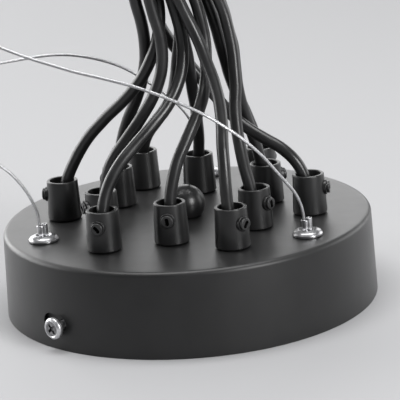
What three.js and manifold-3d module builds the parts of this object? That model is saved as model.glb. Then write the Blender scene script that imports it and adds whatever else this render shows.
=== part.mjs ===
// Ceiling canopy of a twelve-cord chandelier, in millimetres, +Z up.
// It stands on its open rim. Hung on a ceiling, the rim faces up and the cords hang down.
import * as THREE from 'three';
import { mergeVertices } from 'three/addons/utils/BufferGeometryUtils.js';
import Module from 'manifold-3d';

const wasm = await Module();
wasm.setup();

// Fits that every piece shares
const seatGap = 0.3;
const runningGap = 0.3;
const cutOverrun = 1;

// Canopy shell
const canopyHeight = 46;
const canopyRimRadius = 102;
const canopyTaper = 1.5;
const canopyTopRadius = canopyRimRadius - canopyTaper;
const canopySheet = 1.2;
const canopyEdgeRadius = 2;
const canopySides = 60;
const canopyEdgeSteps = 3;

// Two rings of cord grips, counted in the order in which they stand round each ring
const outerRingInset = 32.5;
const ringSpacing = 20;
const outerRingRadius = canopyTopRadius - outerRingInset;
const innerRingRadius = outerRingRadius - ringSpacing;
const innerRingStartDegrees = 20;
const outerRingStartDegrees = 50;
const innerRingNumbers = [10, 7, 4, 2, 6, 9];
const outerRingNumbers = [12, 5, 1, 3, 8, 11];
const turnedScrewDegrees = { 3: 23, 8: 20 };

// Cord grip, a tapered cup with a threaded stub and a hexagon lock nut on it
const gripHeight = 21.8;
const gripFootRadius = 7.6;
const gripWidestRadius = 9.2;
const gripWidestHeight = 1.6;
const gripRimRadius = 8.47;
const gripBoreRadius = 6.75;
const gripBoreDepth = 16;
const gripCordHoleRadius = 3.75;
const gripStubRadius = 4.9;
const gripStubLength = 8.3;
const gripSides = 16;
const lockNutAcross = 14;
const lockNutThickness = 4;

// Set screw in the side of each grip, with the round boss that it sits in
const gripScrewHeight = 13.9;
const gripScrewShankRadius = 1.95;
const gripScrewHeadRadius = 3.25;
const gripScrewHeadThickness = 2;
const gripScrewHeadChamfer = 0.5;
const gripScrewTipReach = 3;
const gripScrewSlotLength = 3.6;
const gripScrewSlotWidth = 1.3;
const gripScrewSlotDepth = 0.8;
const gripScrewSides = 10;
const gripBossRadius = 4;
const gripBossStand = 1;
const gripBossRootShare = 0.25;

// Cords and suspension wires
const cordRadius = 3.25;
const cordSides = 8;
const cordStepDiameters = 2.2;
const wireRadius = 0.75;
const wireSides = 8;
const wireStepDiameters = 3;

// Wire gripper, a domed flange with a post; its releasing tube stands beside the wire
const gripperPlacesDegrees = { left: 200, right: 320, rear: 80 };
const gripperRingInset = 18.5;
const gripperRingRadius = canopyTopRadius - gripperRingInset;
const gripperFlangeRadius = 8;
const gripperEdgeHeight = 0.9;
const gripperShoulderRadius = 6.6;
const gripperShoulderHeight = 2.2;
const gripperCrownRadius = 4.2;
const gripperCrownHeight = 3;
const gripperDimpleRadius = 2.4;
const gripperDimpleHeight = 2.7;
const gripperPostFootRadius = 2.95;
const gripperPostFootHeight = 4.2;
const gripperPostTopRadius = 3.2;
const gripperPostHeight = 9.7;
const gripperStubRadius = 3.9;
const gripperStubLength = 8.3;
const gripperSides = 16;
const gripperNutAcross = 11;
const gripperNutThickness = 3.5;
const plungerRadius = 1.6;
const plungerBoreRadius = 0.9;
const plungerLength = 5.3;
const plungerStand = 1.5;
const plungerOffset = 1;
const plungerWellClearance = 1.7;
const plungerSides = 10;

// Crimped stop on the far end of each wire
const wireStopRadius = 2;
const wireStopNeckRadius = 1.3;
const wireStopLength = 8;
const wireStopNeckShare = 0.4;
const wireStopSides = 10;

// Centre stud, its nut and the ball nut
const studRadius = 3;
const studReachBelow = 8;
const studReachAbove = 7.3;
const studSides = 12;
const studNutAcross = 10;
const studNutThickness = 5;
const ballRadius = 10;
const ballCentreHeight = 7.05;
const ballHoleDepth = 8;
const ballRings = 7;
const ballSides = 14;

// Mounting strap inside the canopy, bent up at both ends
const strapDirectionDegrees = 46.5;
const strapWidth = 24;
const strapThickness = 2;
const strapLift = 0.3;
const strapWallGap = 1.6;
const strapTabHeight = 24;
const strapTabCornerRadius = 4;
const strapCentreHoleRadius = 5;
const strapSlotWidth = 6.5;
const strapSlotLength = 28;
const strapSlotOffset = 34;
const roundSteps = 3;

// Side screws that hold the canopy to the strap through slots in its wall
const sideScrewHeight = 13;
const sideScrewShankRadius = 2.5;
const sideScrewShoulderRadius = 3.8;
const sideScrewHeadRadius = 5.75;
const sideScrewHeadEdge = 1.8;
const sideScrewHeadThickness = 3.2;
const sideScrewHeadTopRadius = 3.6;
const sideScrewTightening = 2.5;
const sideScrewTipReach = 3.4;
const sideScrewRecessLength = 6;
const sideScrewRecessWidth = 1.4;
const sideScrewRecessDepth = 1.5;
const sideScrewSides = 16;
const sideSlotLength = 17;
const sideSlotHeight = 10;
const sideSlotShift = 3.3;

// Terminal block on the strap
const blockLength = 30;
const blockWidth = 18;
const blockHeight = 12.4;
const blockScrewGap = 6;
const blockWellRadius = 2;
const blockWellDepth = 6;
const blockPoles = 3;
const blockWellSides = 8;

// Tie that gathers the cords, standing square to them
const tieCentre = [-11, -5.6, 216];
const tieLeanDegrees = -16.86;
const tieWidth = 5;
const tieThickness = 1.4;
const tieFit = 0.5;
const tieCordPitch = 7.6;
const tieRowPitch = 6.6;
const tieHeadLength = 8;
const tieHeadDepth = 4.5;
const tieHeadExtraWidth = 1.5;
// Corner cords of the bundle, as shares of the two pitches, in order round the bundle
const tieCornerShares = [[-1, -1.5], [1, -1.5], [1.5, -0.5], [0.5, 1.5], [-0.5, 1.5], [-1.5, -0.5]];

// Cord routes by grip number, from inside the stub up to the far end beyond the tie
const cordRoutes = {
  1: [[-67, 11.8, 39.5], [-66.8, 11.8, 53], [-64, 11.3, 68], [-58.5, 10, 79.5], [-51, 8, 91],
    [-40.5, 4, 102.5], [-29.5, -1, 113], [-20.5, -4.5, 123], [-14, -6.5, 133.5], [-9.5, -7, 143.5],
    [-7, -7, 154], [-6.5, -6.5, 165], [-9, -5, 180], [-13.5, -3, 197], [-18.5, -2.5, 214],
    [-22, -2.5, 226]],
  2: [[-45.1, -16.4, 39.5], [-45, -16.4, 53], [-42.5, -15.5, 68], [-40, -16, 78.5],
    [-35.5, -17.5, 87.5], [-28.5, -18.5, 96.5], [-21, -18, 106], [-13.5, -17, 117],
    [-8.5, -16, 128], [-6.5, -15.5, 139], [-7, -15.5, 150.5], [-9.5, -15.5, 162],
    [-12.5, -15.5, 179], [-15, -15.5, 196.5], [-18.5, -15.5, 214], [-22, -15.5, 226]],
  3: [[-43.7, -52.1, 39.5], [-43.7, -51.9, 53], [-43, -49, 68], [-39.5, -46, 78.5],
    [-33, -42.5, 88.5], [-24.5, -38, 97], [-15, -33, 105.5], [-6.5, -27, 113.5],
    [-0.7, -21, 121.5], [3, -16.3, 130.5], [4.5, -13, 140.5], [4, -12, 151], [2, -12, 162],
    [-2.5, -11, 179.5], [-8.5, -9.5, 197], [-14.5, -9, 215], [-18.5, -9, 227.5]],
  4: [[-36.8, 30.9, 39.5], [-36.7, 30.8, 53], [-35, 29, 68], [-34, 25.5, 78.5], [-31.5, 21, 89],
    [-27.5, 16, 100], [-22.5, 11, 111], [-18.5, 6.5, 122.5], [-16, 2, 134], [-15.5, -3, 146],
    [-16.5, -7, 157.5], [-18.5, -9.5, 168], [-20, -10.5, 182.5], [-20.5, -10, 197.5],
    [-22, -9, 212.5], [-25.5, -9, 225]],
  5: [[-23.3, 63.9, 39.5], [-23.2, 63.7, 53], [-22.4, 61.3, 68], [-19.3, 55, 78.5],
    [-13.8, 45, 88], [-8, 32.5, 98], [-3, 20, 110], [-0.5, 9.5, 121.5], [1, 1.5, 132],
    [2.7, -2.6, 142], [3.8, -4.3, 151.5], [3.2, -4.5, 162], [0.5, -4, 179.5], [-5, -3, 197.5],
    [-11, -2.5, 216], [-15, -2.5, 228.5]],
  6: [[-8.3, -47.3, 39.5], [-8.3, -47.1, 53], [-7.8, -44.5, 68], [-6, -43, 77], [-2.5, -40, 87.5],
    [3, -35.5, 97.5], [8.5, -30, 107], [13, -24, 116.5], [15.5, -17, 125.5], [16.5, -11.5, 135.5],
    [16.5, -9, 146], [15, -8.5, 156.5], [13, -8, 166], [7.5, -7.5, 182], [0, -8.5, 199],
    [-7.5, -9, 217], [-11, -9, 229.5]],
  7: [[8.3, 47.3, 39.5], [8.4, 47.1, 53], [9, 44.7, 68], [9.7, 40, 78.5], [9.5, 33, 90.5],
    [9, 24.5, 102], [8, 16.5, 113], [7.5, 10.5, 124], [6.8, 7, 134], [5.5, 5, 143.5],
    [4.5, 3.5, 153], [2.5, 3, 163], [-0.5, 4, 180.5], [-3, 4.5, 198.5], [-7.5, 4.5, 217],
    [-11, 4.5, 229.5]],
  8: [[23.3, -63.9, 39.5], [23.2, -63.8, 53], [21.8, -61.8, 68], [21.5, -60, 79.5],
    [21.5, -57, 89.5], [21.5, -52.5, 99], [22, -46, 108.5], [21.5, -39, 118], [19.5, -32, 127.5],
    [16.5, -26, 136.5], [13.5, -21.5, 146], [9.5, -19, 156], [5.5, -18.5, 166],
    [-0.5, -18.5, 182], [-5.5, -16.5, 198.5], [-11, -15.5, 216], [-15, -15.5, 228.5]],
  9: [[36.8, -30.9, 39.5], [36.7, -30.8, 53], [34.7, -29, 68], [32.5, -28, 79], [31, -27, 89.5],
    [30, -25, 100], [30, -22.5, 111], [31, -20, 121.5], [31, -17.5, 132], [30.5, -15.5, 142],
    [29, -14, 152], [26.5, -13, 163], [18.5, -14.5, 181.5], [6.5, -15.5, 199],
    [-3.5, -15.5, 218], [-7.5, -15.5, 230.5]],
  10: [[45.1, 16.4, 39.5], [45, 16.4, 53], [42.8, 15.7, 68], [41, 15, 78], [38.5, 14.5, 87.5],
    [36, 13, 96.5], [33.8, 10.5, 106], [32.5, 7.5, 116], [32, 4.5, 127], [31.5, 1.5, 137.5],
    [29.5, -1.5, 148], [27.5, -4, 159], [21, -7, 179], [9, -8.5, 198.5], [0, -9, 219.5],
    [-4, -9, 231.5]],
  11: [[67, -11.8, 39.5], [66.8, -11.8, 53], [64.2, -11.3, 68], [60.2, -10, 75.5], [53.5, -7, 82],
    [45, -3, 87], [36, 2, 92.5], [28.5, 8, 98.5], [22, 14, 106], [15.5, 19, 114], [9.5, 21, 122.5],
    [4, 19.5, 130.5], [-1.5, 15.5, 139.5], [-6, 12, 148.5], [-9, 9.5, 157.5], [-11.5, 8, 166],
    [-13.5, 6.5, 181], [-13, 5, 198], [-14.5, 4.5, 215], [-18.5, 4.5, 227.5]],
  12: [[43.7, 52.1, 39.5], [43.6, 51.9, 53], [42, 49.8, 68], [41, 45, 77.5], [38.5, 38.5, 87],
    [35.5, 31, 97], [32, 24.5, 107], [29, 18.5, 118], [27, 13.5, 128], [25, 9.5, 138],
    [23, 6, 148.5], [20.5, 3.5, 159], [13.5, 0, 179], [4.5, -2, 198], [-3.5, -2.5, 218],
    [-7.5, -2.5, 230.5]],
};

// Suspension wire routes, from inside the gripper to the crimped stop
const wireRoutes = {
  left: [[-78.7, -28, 39], [-78.7, -28, 56], [-79.3, -28.2, 62], [-81, -29, 68], [-83.5, -30, 74],
    [-87, -31, 80], [-91, -32, 85.5], [-96, -33, 90.5], [-101.5, -34, 95]],
  right: [[61.2, -52.7, 39], [61.2, -52.7, 56], [59.7, -53.5, 64], [56.7, -55, 71],
    [53, -56.5, 76.5], [48, -58.5, 83.5], [42, -61, 92], [36, -63, 99], [29.5, -64.5, 105.5],
    [23.5, -65.5, 110.5], [17, -66, 115.5], [10, -66, 120], [-3.5, -65, 127], [-20, -62.5, 134],
    [-36, -59.5, 139], [-51, -56, 143], [-64, -52, 147], [-75, -48, 150.5], [-85, -43.5, 154],
    [-95, -39, 158]],
  rear: [[12.6, 80.8, 39], [12.6, 80.8, 56], [11.3, 80.3, 64], [8, 79, 74], [2.5, 77, 85.5],
    [-6.5, 75, 96], [-16, 73, 104.5], [-24.5, 71, 111.5], [-33, 69, 117], [-43, 67, 121.5],
    [-54, 65, 125], [-65, 63, 127], [-76, 60.5, 127.5], [-87, 58, 127], [-98, 55, 126.5],
    [-106, 53, 126]],
};

// Heights that several pieces share
const topSeat = canopyHeight + seatGap;
const undersideSeat = canopyHeight - canopySheet - seatGap;
const radiansPerDegree = Math.PI / 180;

// Finishes
function finish(color, roughness, metalness) {
  return new THREE.MeshStandardMaterial({ color, roughness, metalness });
}
const blackPaint = () => finish(0x2b2b2d, 0.55, 0.1);
const blackPlastic = () => finish(0x1d1d1f, 0.5, 0);
const blackSteel = () => finish(0x171718, 0.4, 0.4);
const cordPlastic = () => finish(0x141415, 0.38, 0);
const chromePlate = () => finish(0xd4d6d8, 0.12, 1);
const braidedSteel = () => finish(0x9c9c9c, 0.35, 0.9);
const zincPlate = () => finish(0xb4b7ba, 0.4, 0.9);
const whitePlastic = () => finish(0xdedbd2, 0.5, 0);
const satinBlack = () => finish(0x1a1a1c, 0.28, 0.3);

// Solids in and out of the library that joins and cuts them
function toSolid(geometry) {
  const bare = geometry.clone();
  bare.deleteAttribute('normal');
  bare.deleteAttribute('uv');
  const merged = mergeVertices(bare);
  const triVerts = new Uint32Array(merged.index.array);
  const vertProperties = new Float32Array(merged.attributes.position.array);
  return new wasm.Manifold(new wasm.Mesh({ numProp: 3, vertProperties, triVerts }));
}

function toGeometry(solid) {
  const mesh = solid.getMesh();
  const geometry = new THREE.BufferGeometry();
  geometry.setAttribute('position', new THREE.BufferAttribute(mesh.vertProperties, 3));
  geometry.setIndex(new THREE.BufferAttribute(mesh.triVerts, 1));
  geometry.computeVertexNormals();
  return geometry;
}

function joined(first, ...others) {
  return toGeometry(others.reduce((sum, other) => sum.add(toSolid(other)), toSolid(first)));
}

function cut(body, ...tools) {
  return toGeometry(tools.reduce((rest, tool) => rest.subtract(toSolid(tool)), toSolid(body)));
}

// A profile of [radius, height] points turned round the Z axis
function turned(profile, sides) {
  const points = profile.map(([radius, height]) => new THREE.Vector2(radius, height));
  return new THREE.LatheGeometry(points, sides).rotateX(Math.PI / 2);
}

function rod(radius, bottom, top, sides) {
  return turned([[0, bottom], [radius, bottom], [radius, top], [0, top]], sides);
}

// A profile turned round the X axis: heights become distances along +X
function turnedAlongX(profile, sides) {
  return turned(profile, sides).rotateY(Math.PI / 2);
}

function rodAlongX(radius, from, to, sides) {
  return rod(radius, from, to, sides).rotateY(Math.PI / 2);
}

function box(lengthX, lengthY, lengthZ, bottom) {
  return new THREE.BoxGeometry(lengthX, lengthY, lengthZ).translate(0, 0, bottom + lengthZ / 2);
}

// Hexagon nut with a round bore, its upper face at the given height
function hexagonNut(across, thickness, boreRadius, top) {
  const corner = across / Math.sqrt(3);
  const hexagon = new THREE.Shape();
  for (let side = 0; side < 6; side += 1) {
    const angle = side * Math.PI / 3;
    const x = corner * Math.cos(angle);
    const y = corner * Math.sin(angle);
    if (side === 0) {
      hexagon.moveTo(x, y);
    } else {
      hexagon.lineTo(x, y);
    }
  }
  hexagon.closePath();
  const blank = new THREE.ExtrudeGeometry(hexagon, { depth: thickness, bevelEnabled: false });
  blank.translate(0, 0, top - thickness);
  return cut(blank, rod(boreRadius, top - thickness - cutOverrun, top + cutOverrun, gripperSides));
}

// An upright slot outline with round ends, centred on the origin
function slotOutline(length, width) {
  const end = width / 2;
  const reach = length / 2 - end;
  const outline = new THREE.Shape();
  outline.moveTo(-reach, -end);
  outline.lineTo(reach, -end);
  outline.absarc(reach, 0, end, -Math.PI / 2, Math.PI / 2, false);
  outline.lineTo(-reach, end);
  outline.absarc(-reach, 0, end, Math.PI / 2, Math.PI * 1.5, false);
  return outline;
}

// Wall radius of the canopy at a height
function canopyWallRadius(height) {
  return canopyRimRadius + (canopyTopRadius - canopyRimRadius) * height / canopyHeight;
}

// The strap reaches almost to the wall, where the wall is narrowest beside its tabs
const narrowestWall = Math.min(canopyRimRadius, canopyWallRadius(strapLift + strapTabHeight));
const strapReach = narrowestWall - canopySheet - strapWallGap;
const sideScrewTipRadius = strapReach - strapThickness - sideScrewTipReach;
const blockOffset = sideScrewTipRadius - blockScrewGap - blockLength / 2;

// Places of the twelve grips, with the direction that each set screw faces
function ringPlaces(numbers, radius, startDegrees) {
  return numbers.map((number, place) => {
    const degrees = startDegrees + place * 360 / numbers.length;
    const angle = degrees * radiansPerDegree;
    const screwAngle = (degrees + (turnedScrewDegrees[number] ?? 0)) * radiansPerDegree;
    return { number, x: radius * Math.cos(angle), y: radius * Math.sin(angle), screwAngle };
  });
}
const gripPlaces = [
  ...ringPlaces(innerRingNumbers, innerRingRadius, innerRingStartDegrees),
  ...ringPlaces(outerRingNumbers, outerRingRadius, outerRingStartDegrees),
].sort((one, other) => one.number - other.number);

const gripperAt = Object.fromEntries(Object.entries(gripperPlacesDegrees).map(([side, degrees]) => {
  const angle = degrees * radiansPerDegree;
  return [side, { x: gripperRingRadius * Math.cos(angle), y: gripperRingRadius * Math.sin(angle) }];
}));

// Canopy shell: a cup of sheet steel with a rounded edge and all of its holes
function canopyCup() {
  const edgeCentre = canopyTopRadius - canopyEdgeRadius;
  const innerEdge = canopyEdgeRadius - canopySheet;
  const outerArc = [];
  const innerArc = [];
  for (let step = 0; step <= canopyEdgeSteps; step += 1) {
    const angle = Math.PI / 2 * step / canopyEdgeSteps;
    const across = Math.sin(angle);
    const up = Math.cos(angle);
    const height = canopyHeight - canopyEdgeRadius;
    outerArc.push([edgeCentre + canopyEdgeRadius * across, height + canopyEdgeRadius * up]);
    innerArc.push([edgeCentre + innerEdge * across, height + innerEdge * up]);
  }
  const profile = [
    [0, canopyHeight],
    ...outerArc,
    [canopyRimRadius, 0],
    [canopyRimRadius - canopySheet, 0],
    ...innerArc.reverse(),
    [0, canopyHeight - canopySheet],
  ];
  return turned(profile.reverse(), canopySides);
}

function sideSlotTool(direction) {
  const outline = slotOutline(sideSlotLength, sideSlotHeight);
  const depth = Math.max(canopyRimRadius, canopyTopRadius) + cutOverrun - strapReach;
  const tool = new THREE.ExtrudeGeometry(outline, { depth, bevelEnabled: false, curveSegments: roundSteps });
  const lowerEdge = sideScrewHeight - sideScrewShoulderRadius - runningGap;
  tool.rotateX(Math.PI / 2).rotateZ(Math.PI / 2);
  tool.translate(strapReach, -sideSlotShift, lowerEdge + sideSlotHeight / 2);
  return tool.rotateZ(direction);
}

function canopyShell() {
  const bottom = canopyHeight - canopySheet - cutOverrun;
  const top = canopyHeight + cutOverrun;
  const gripHole = gripStubRadius + runningGap;
  const gripperHole = gripperStubRadius + runningGap;
  const tools = gripPlaces.map(({ x, y }) => rod(gripHole, bottom, top, gripSides).translate(x, y, 0));
  for (const { x, y } of Object.values(gripperAt)) {
    tools.push(rod(gripperHole, bottom, top, gripperSides).translate(x, y, 0));
  }
  tools.push(rod(studRadius + runningGap, bottom, top, studSides));
  const direction = strapDirectionDegrees * radiansPerDegree;
  tools.push(sideSlotTool(direction));
  tools.push(sideSlotTool(direction + Math.PI));
  return cut(canopyCup(), ...tools);
}

// Cord grip, its foot at height zero, its screw facing +X
const gripTaper = (gripRimRadius - gripWidestRadius) / (gripHeight - gripWidestHeight);
const gripWallAtScrew = gripWidestRadius + gripTaper * (gripScrewHeight - gripWidestHeight);
const gripBossFace = gripWallAtScrew + gripBossStand;

function cordGrip() {
  const cup = turned([
    [gripCordHoleRadius, -gripStubLength],
    [gripStubRadius, -gripStubLength],
    [gripStubRadius, 0],
    [gripFootRadius, 0],
    [gripWidestRadius, gripWidestHeight],
    [gripRimRadius, gripHeight],
    [gripBoreRadius, gripHeight],
    [gripBoreRadius, gripHeight - gripBoreDepth],
    [gripCordHoleRadius, gripHeight - gripBoreDepth],
    [gripCordHoleRadius, -gripStubLength],
  ], gripSides);
  const bossRoot = gripBoreRadius + (gripWallAtScrew - gripBoreRadius) * gripBossRootShare;
  const boss = rodAlongX(gripBossRadius, bossRoot, gripBossFace, gripSides);
  boss.translate(0, 0, gripScrewHeight);
  const nutBore = (gripStubRadius + gripCordHoleRadius) / 2;
  const nut = hexagonNut(lockNutAcross, lockNutThickness, nutBore, undersideSeat - topSeat);
  const holeRadius = gripScrewShankRadius + runningGap;
  const hole = rodAlongX(holeRadius, 0, gripBossFace + cutOverrun, gripScrewSides);
  hole.translate(0, 0, gripScrewHeight);
  return cut(joined(cup, boss, nut), hole);
}

function gripScrew() {
  const headStart = gripBossFace + seatGap;
  const headEnd = headStart + gripScrewHeadThickness;
  const body = turnedAlongX([
    [0, gripScrewTipReach],
    [gripScrewShankRadius, gripScrewTipReach],
    [gripScrewShankRadius, headStart],
    [gripScrewHeadRadius, headStart],
    [gripScrewHeadRadius, headEnd - gripScrewHeadChamfer],
    [gripScrewHeadRadius - gripScrewHeadChamfer, headEnd],
    [0, headEnd],
  ], gripScrewSides);
  const slotHeight = gripScrewSlotDepth + cutOverrun;
  const slot = new THREE.BoxGeometry(slotHeight, gripScrewSlotWidth, gripScrewSlotLength);
  slot.translate(headEnd - gripScrewSlotDepth + slotHeight / 2, 0, 0);
  return cut(body, slot).translate(0, 0, gripScrewHeight);
}

// A round tube along a route, with a step every few diameters
function tubeAlong(points, radius, sides, stepDiameters) {
  const curve = new THREE.CatmullRomCurve3(points.map((point) => new THREE.Vector3(...point)));
  const section = new THREE.Shape();
  for (let side = 0; side < sides; side += 1) {
    const angle = side * 2 * Math.PI / sides;
    const x = radius * Math.cos(angle);
    const y = radius * Math.sin(angle);
    if (side === 0) {
      section.moveTo(x, y);
    } else {
      section.lineTo(x, y);
    }
  }
  section.closePath();
  const steps = Math.ceil(curve.getLength() / (stepDiameters * 2 * radius));
  const geometry = new THREE.ExtrudeGeometry(section, { steps, bevelEnabled: false, extrudePath: curve });
  return { curve, geometry };
}

// Wire gripper, its flange at height zero, the releasing tube on its +X side
const gripperWireOffset = plungerOffset - plungerRadius - wireRadius - runningGap;

function wireGripper() {
  const body = turned([
    [0, -gripperStubLength],
    [gripperStubRadius, -gripperStubLength],
    [gripperStubRadius, 0],
    [gripperFlangeRadius, 0],
    [gripperFlangeRadius, gripperEdgeHeight],
    [gripperShoulderRadius, gripperShoulderHeight],
    [gripperCrownRadius, gripperCrownHeight],
    [gripperDimpleRadius, gripperDimpleHeight],
    [gripperPostFootRadius, gripperPostFootHeight],
    [gripperPostTopRadius, gripperPostHeight],
    [0, gripperPostHeight],
  ], gripperSides);
  const wellBottom = gripperPostHeight + plungerStand - plungerLength - plungerWellClearance;
  const above = gripperPostHeight + cutOverrun;
  const well = rod(plungerRadius + runningGap, wellBottom, above, plungerSides);
  well.translate(plungerOffset, 0, 0);
  const wireHole = rod(wireRadius + runningGap, -gripperStubLength - cutOverrun, above, wireSides);
  wireHole.translate(gripperWireOffset, 0, 0);
  return cut(body, well, wireHole);
}

function gripperPlunger() {
  const top = gripperPostHeight + plungerStand;
  const bottom = top - plungerLength;
  return turned([
    [plungerBoreRadius, bottom],
    [plungerRadius, bottom],
    [plungerRadius, top],
    [plungerBoreRadius, top],
    [plungerBoreRadius, bottom],
  ], plungerSides).translate(plungerOffset, 0, 0);
}

// Crimped stop that carries on from the end of a wire
function wireStop(curve) {
  const neck = wireStopLength * wireStopNeckShare;
  const stop = turned([
    [0, 0],
    [wireStopNeckRadius, 0],
    [wireStopRadius, neck],
    [wireStopRadius, wireStopLength],
    [0, wireStopLength],
  ], wireStopSides);
  const along = curve.getTangentAt(1);
  const start = curve.getPointAt(1).addScaledVector(along, seatGap);
  stop.applyQuaternion(new THREE.Quaternion().setFromUnitVectors(new THREE.Vector3(0, 0, 1), along));
  return stop.translate(start.x, start.y, start.z);
}

// Centre stud and ball nut
function centreStud() {
  return rod(studRadius, canopyHeight - studReachBelow, topSeat + studReachAbove, studSides);
}

function ballNut() {
  const flatAngle = Math.acos(ballCentreHeight / ballRadius);
  const arc = [];
  for (let ring = 0; ring <= ballRings; ring += 1) {
    const angle = flatAngle + (Math.PI - flatAngle) * ring / ballRings;
    const height = ballCentreHeight - ballRadius * Math.cos(angle);
    const radius = ring === ballRings ? 0 : ballRadius * Math.sin(angle);
    arc.push([radius, height]);
  }
  const holeRadius = studRadius + runningGap;
  const profile = [[0, ballHoleDepth], [holeRadius, ballHoleDepth], [holeRadius, 0], ...arc];
  return turned(profile, ballSides).translate(0, 0, topSeat);
}

// Mounting strap, built along X
function strapTab() {
  const half = strapWidth / 2;
  const top = strapLift + strapTabHeight;
  const corner = strapTabCornerRadius;
  const outline = new THREE.Shape();
  outline.moveTo(-half, strapLift);
  outline.lineTo(half, strapLift);
  outline.lineTo(half, top - corner);
  outline.absarc(half - corner, top - corner, corner, 0, Math.PI / 2, false);
  outline.lineTo(corner - half, top);
  outline.absarc(corner - half, top - corner, corner, Math.PI / 2, Math.PI, false);
  const settings = { depth: strapThickness, bevelEnabled: false, curveSegments: roundSteps };
  const tab = new THREE.ExtrudeGeometry(outline, settings);
  return tab.rotateX(Math.PI / 2).rotateZ(Math.PI / 2).translate(strapReach - strapThickness, 0, 0);
}

function mountingStrap() {
  const base = box(2 * strapReach, strapWidth, strapThickness, strapLift);
  const bottom = strapLift - cutOverrun;
  const depth = strapThickness + 2 * cutOverrun;
  const settings = { depth, bevelEnabled: false, curveSegments: roundSteps };
  const slots = [-strapSlotOffset, strapSlotOffset].map((offset) => {
    const outline = slotOutline(strapSlotLength, strapSlotWidth);
    return new THREE.ExtrudeGeometry(outline, settings).translate(offset, 0, bottom);
  });
  const centreHole = rod(strapCentreHoleRadius, bottom, bottom + depth, gripSides);
  const reach = strapReach + cutOverrun;
  const screwHole = rodAlongX(sideScrewShankRadius + runningGap, -reach, reach, sideScrewSides);
  screwHole.translate(0, 0, sideScrewHeight);
  const strap = joined(base, strapTab(), strapTab().rotateZ(Math.PI));
  return cut(strap, ...slots, centreHole, screwHole);
}

// Side screw along +X, with a plain shoulder that fits the slot in the canopy's wall
function sideScrew() {
  const shoulder = strapReach + seatGap + sideScrewTightening;
  const lowerWall = canopyWallRadius(sideScrewHeight - sideScrewHeadRadius);
  const upperWall = canopyWallRadius(sideScrewHeight + sideScrewHeadRadius);
  const head = Math.max(lowerWall, upperWall) + seatGap + sideScrewTightening;
  const face = head + sideScrewHeadThickness;
  const body = turnedAlongX([
    [0, sideScrewTipRadius],
    [sideScrewShankRadius, sideScrewTipRadius],
    [sideScrewShankRadius, shoulder],
    [sideScrewShoulderRadius, shoulder],
    [sideScrewShoulderRadius, head],
    [sideScrewHeadRadius, head],
    [sideScrewHeadRadius, head + sideScrewHeadEdge],
    [sideScrewHeadTopRadius, face],
    [0, face],
  ], sideScrewSides);
  const depth = sideScrewRecessDepth + cutOverrun;
  const start = face - sideScrewRecessDepth + depth / 2;
  const bars = [
    new THREE.BoxGeometry(depth, sideScrewRecessLength, sideScrewRecessWidth),
    new THREE.BoxGeometry(depth, sideScrewRecessWidth, sideScrewRecessLength),
  ];
  return cut(body, ...bars.map((bar) => bar.translate(start, 0, 0))).translate(0, 0, sideScrewHeight);
}

// Terminal block with a row of screw wells on each side
function terminalBlock() {
  const bottom = strapLift + strapThickness + seatGap;
  const block = box(blockLength, blockWidth, blockHeight, bottom);
  const top = bottom + blockHeight;
  const wells = [];
  for (let pole = 0; pole < blockPoles; pole += 1) {
    const along = blockLength * ((pole + 0.5) / blockPoles - 0.5);
    for (const side of [-1, 1]) {
      const well = rod(blockWellRadius, top - blockWellDepth, top + cutOverrun, blockWellSides);
      wells.push(well.translate(along, side * blockWidth / 4, 0));
    }
  }
  return cut(block, ...wells).translate(blockOffset, 0, 0);
}

// Tie: a band round the corner cords of the bundle, with its lock on one side
function tieOutline(outline, grow) {
  const corners = tieCornerShares.map(([across, up]) => [across * tieCordPitch, up * tieRowPitch]);
  const radius = cordRadius + grow;
  corners.forEach(([x, y], place) => {
    const [beforeX, beforeY] = corners.at(place - 1);
    const [afterX, afterY] = corners[(place + 1) % corners.length];
    const start = Math.atan2(y - beforeY, x - beforeX) - Math.PI / 2;
    const end = Math.atan2(afterY - y, afterX - x) - Math.PI / 2;
    if (place === 0) {
      outline.moveTo(x + radius * Math.cos(start), y + radius * Math.sin(start));
    }
    outline.absarc(x, y, radius, start, end, false);
  });
  outline.closePath();
  return outline;
}

function bundleTie() {
  const band = tieOutline(new THREE.Shape(), tieFit + tieThickness);
  const settings = { depth: tieWidth, bevelEnabled: false, curveSegments: roundSteps };
  const solid = new THREE.ExtrudeGeometry(band, settings).translate(0, 0, -tieWidth / 2);
  const inside = tieOutline(new THREE.Shape(), tieFit);
  const reach = { ...settings, depth: tieWidth + 2 * cutOverrun };
  const hole = new THREE.ExtrudeGeometry(inside, reach);
  hole.translate(0, 0, -tieWidth / 2 - cutOverrun);
  const lock = new THREE.BoxGeometry(tieHeadLength, tieHeadDepth, tieWidth + tieHeadExtraWidth);
  const bandFace = tieCornerShares[0][1] * tieRowPitch - cordRadius - tieFit;
  lock.translate(0, bandFace - tieHeadDepth / 2, 0);
  const tie = cut(joined(solid, lock), hole);
  return tie.rotateY(tieLeanDegrees * radiansPerDegree).translate(...tieCentre);
}

// The assembly
const chandelier = new THREE.Group();

function addPiece(name, geometry, material) {
  const piece = new THREE.Mesh(geometry, material);
  piece.name = name;
  chandelier.add(piece);
  return piece;
}

function numbered(name, number) {
  return `${name}_${String(number).padStart(2, '0')}`;
}

addPiece('canopy_shell', canopyShell(), blackPaint());

const gripForm = cordGrip();
const gripScrewForm = gripScrew();
for (const { number, x, y, screwAngle } of gripPlaces) {
  const grip = addPiece(numbered('cord_grip', number), gripForm, blackPlastic());
  const screw = addPiece(numbered('grip_screw', number), gripScrewForm, blackSteel());
  for (const piece of [grip, screw]) {
    piece.position.set(x, y, topSeat);
    piece.rotation.z = screwAngle;
  }
  const cord = tubeAlong(cordRoutes[number], cordRadius, cordSides, cordStepDiameters);
  addPiece(numbered('cord', number), cord.geometry, cordPlastic());
}

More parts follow.
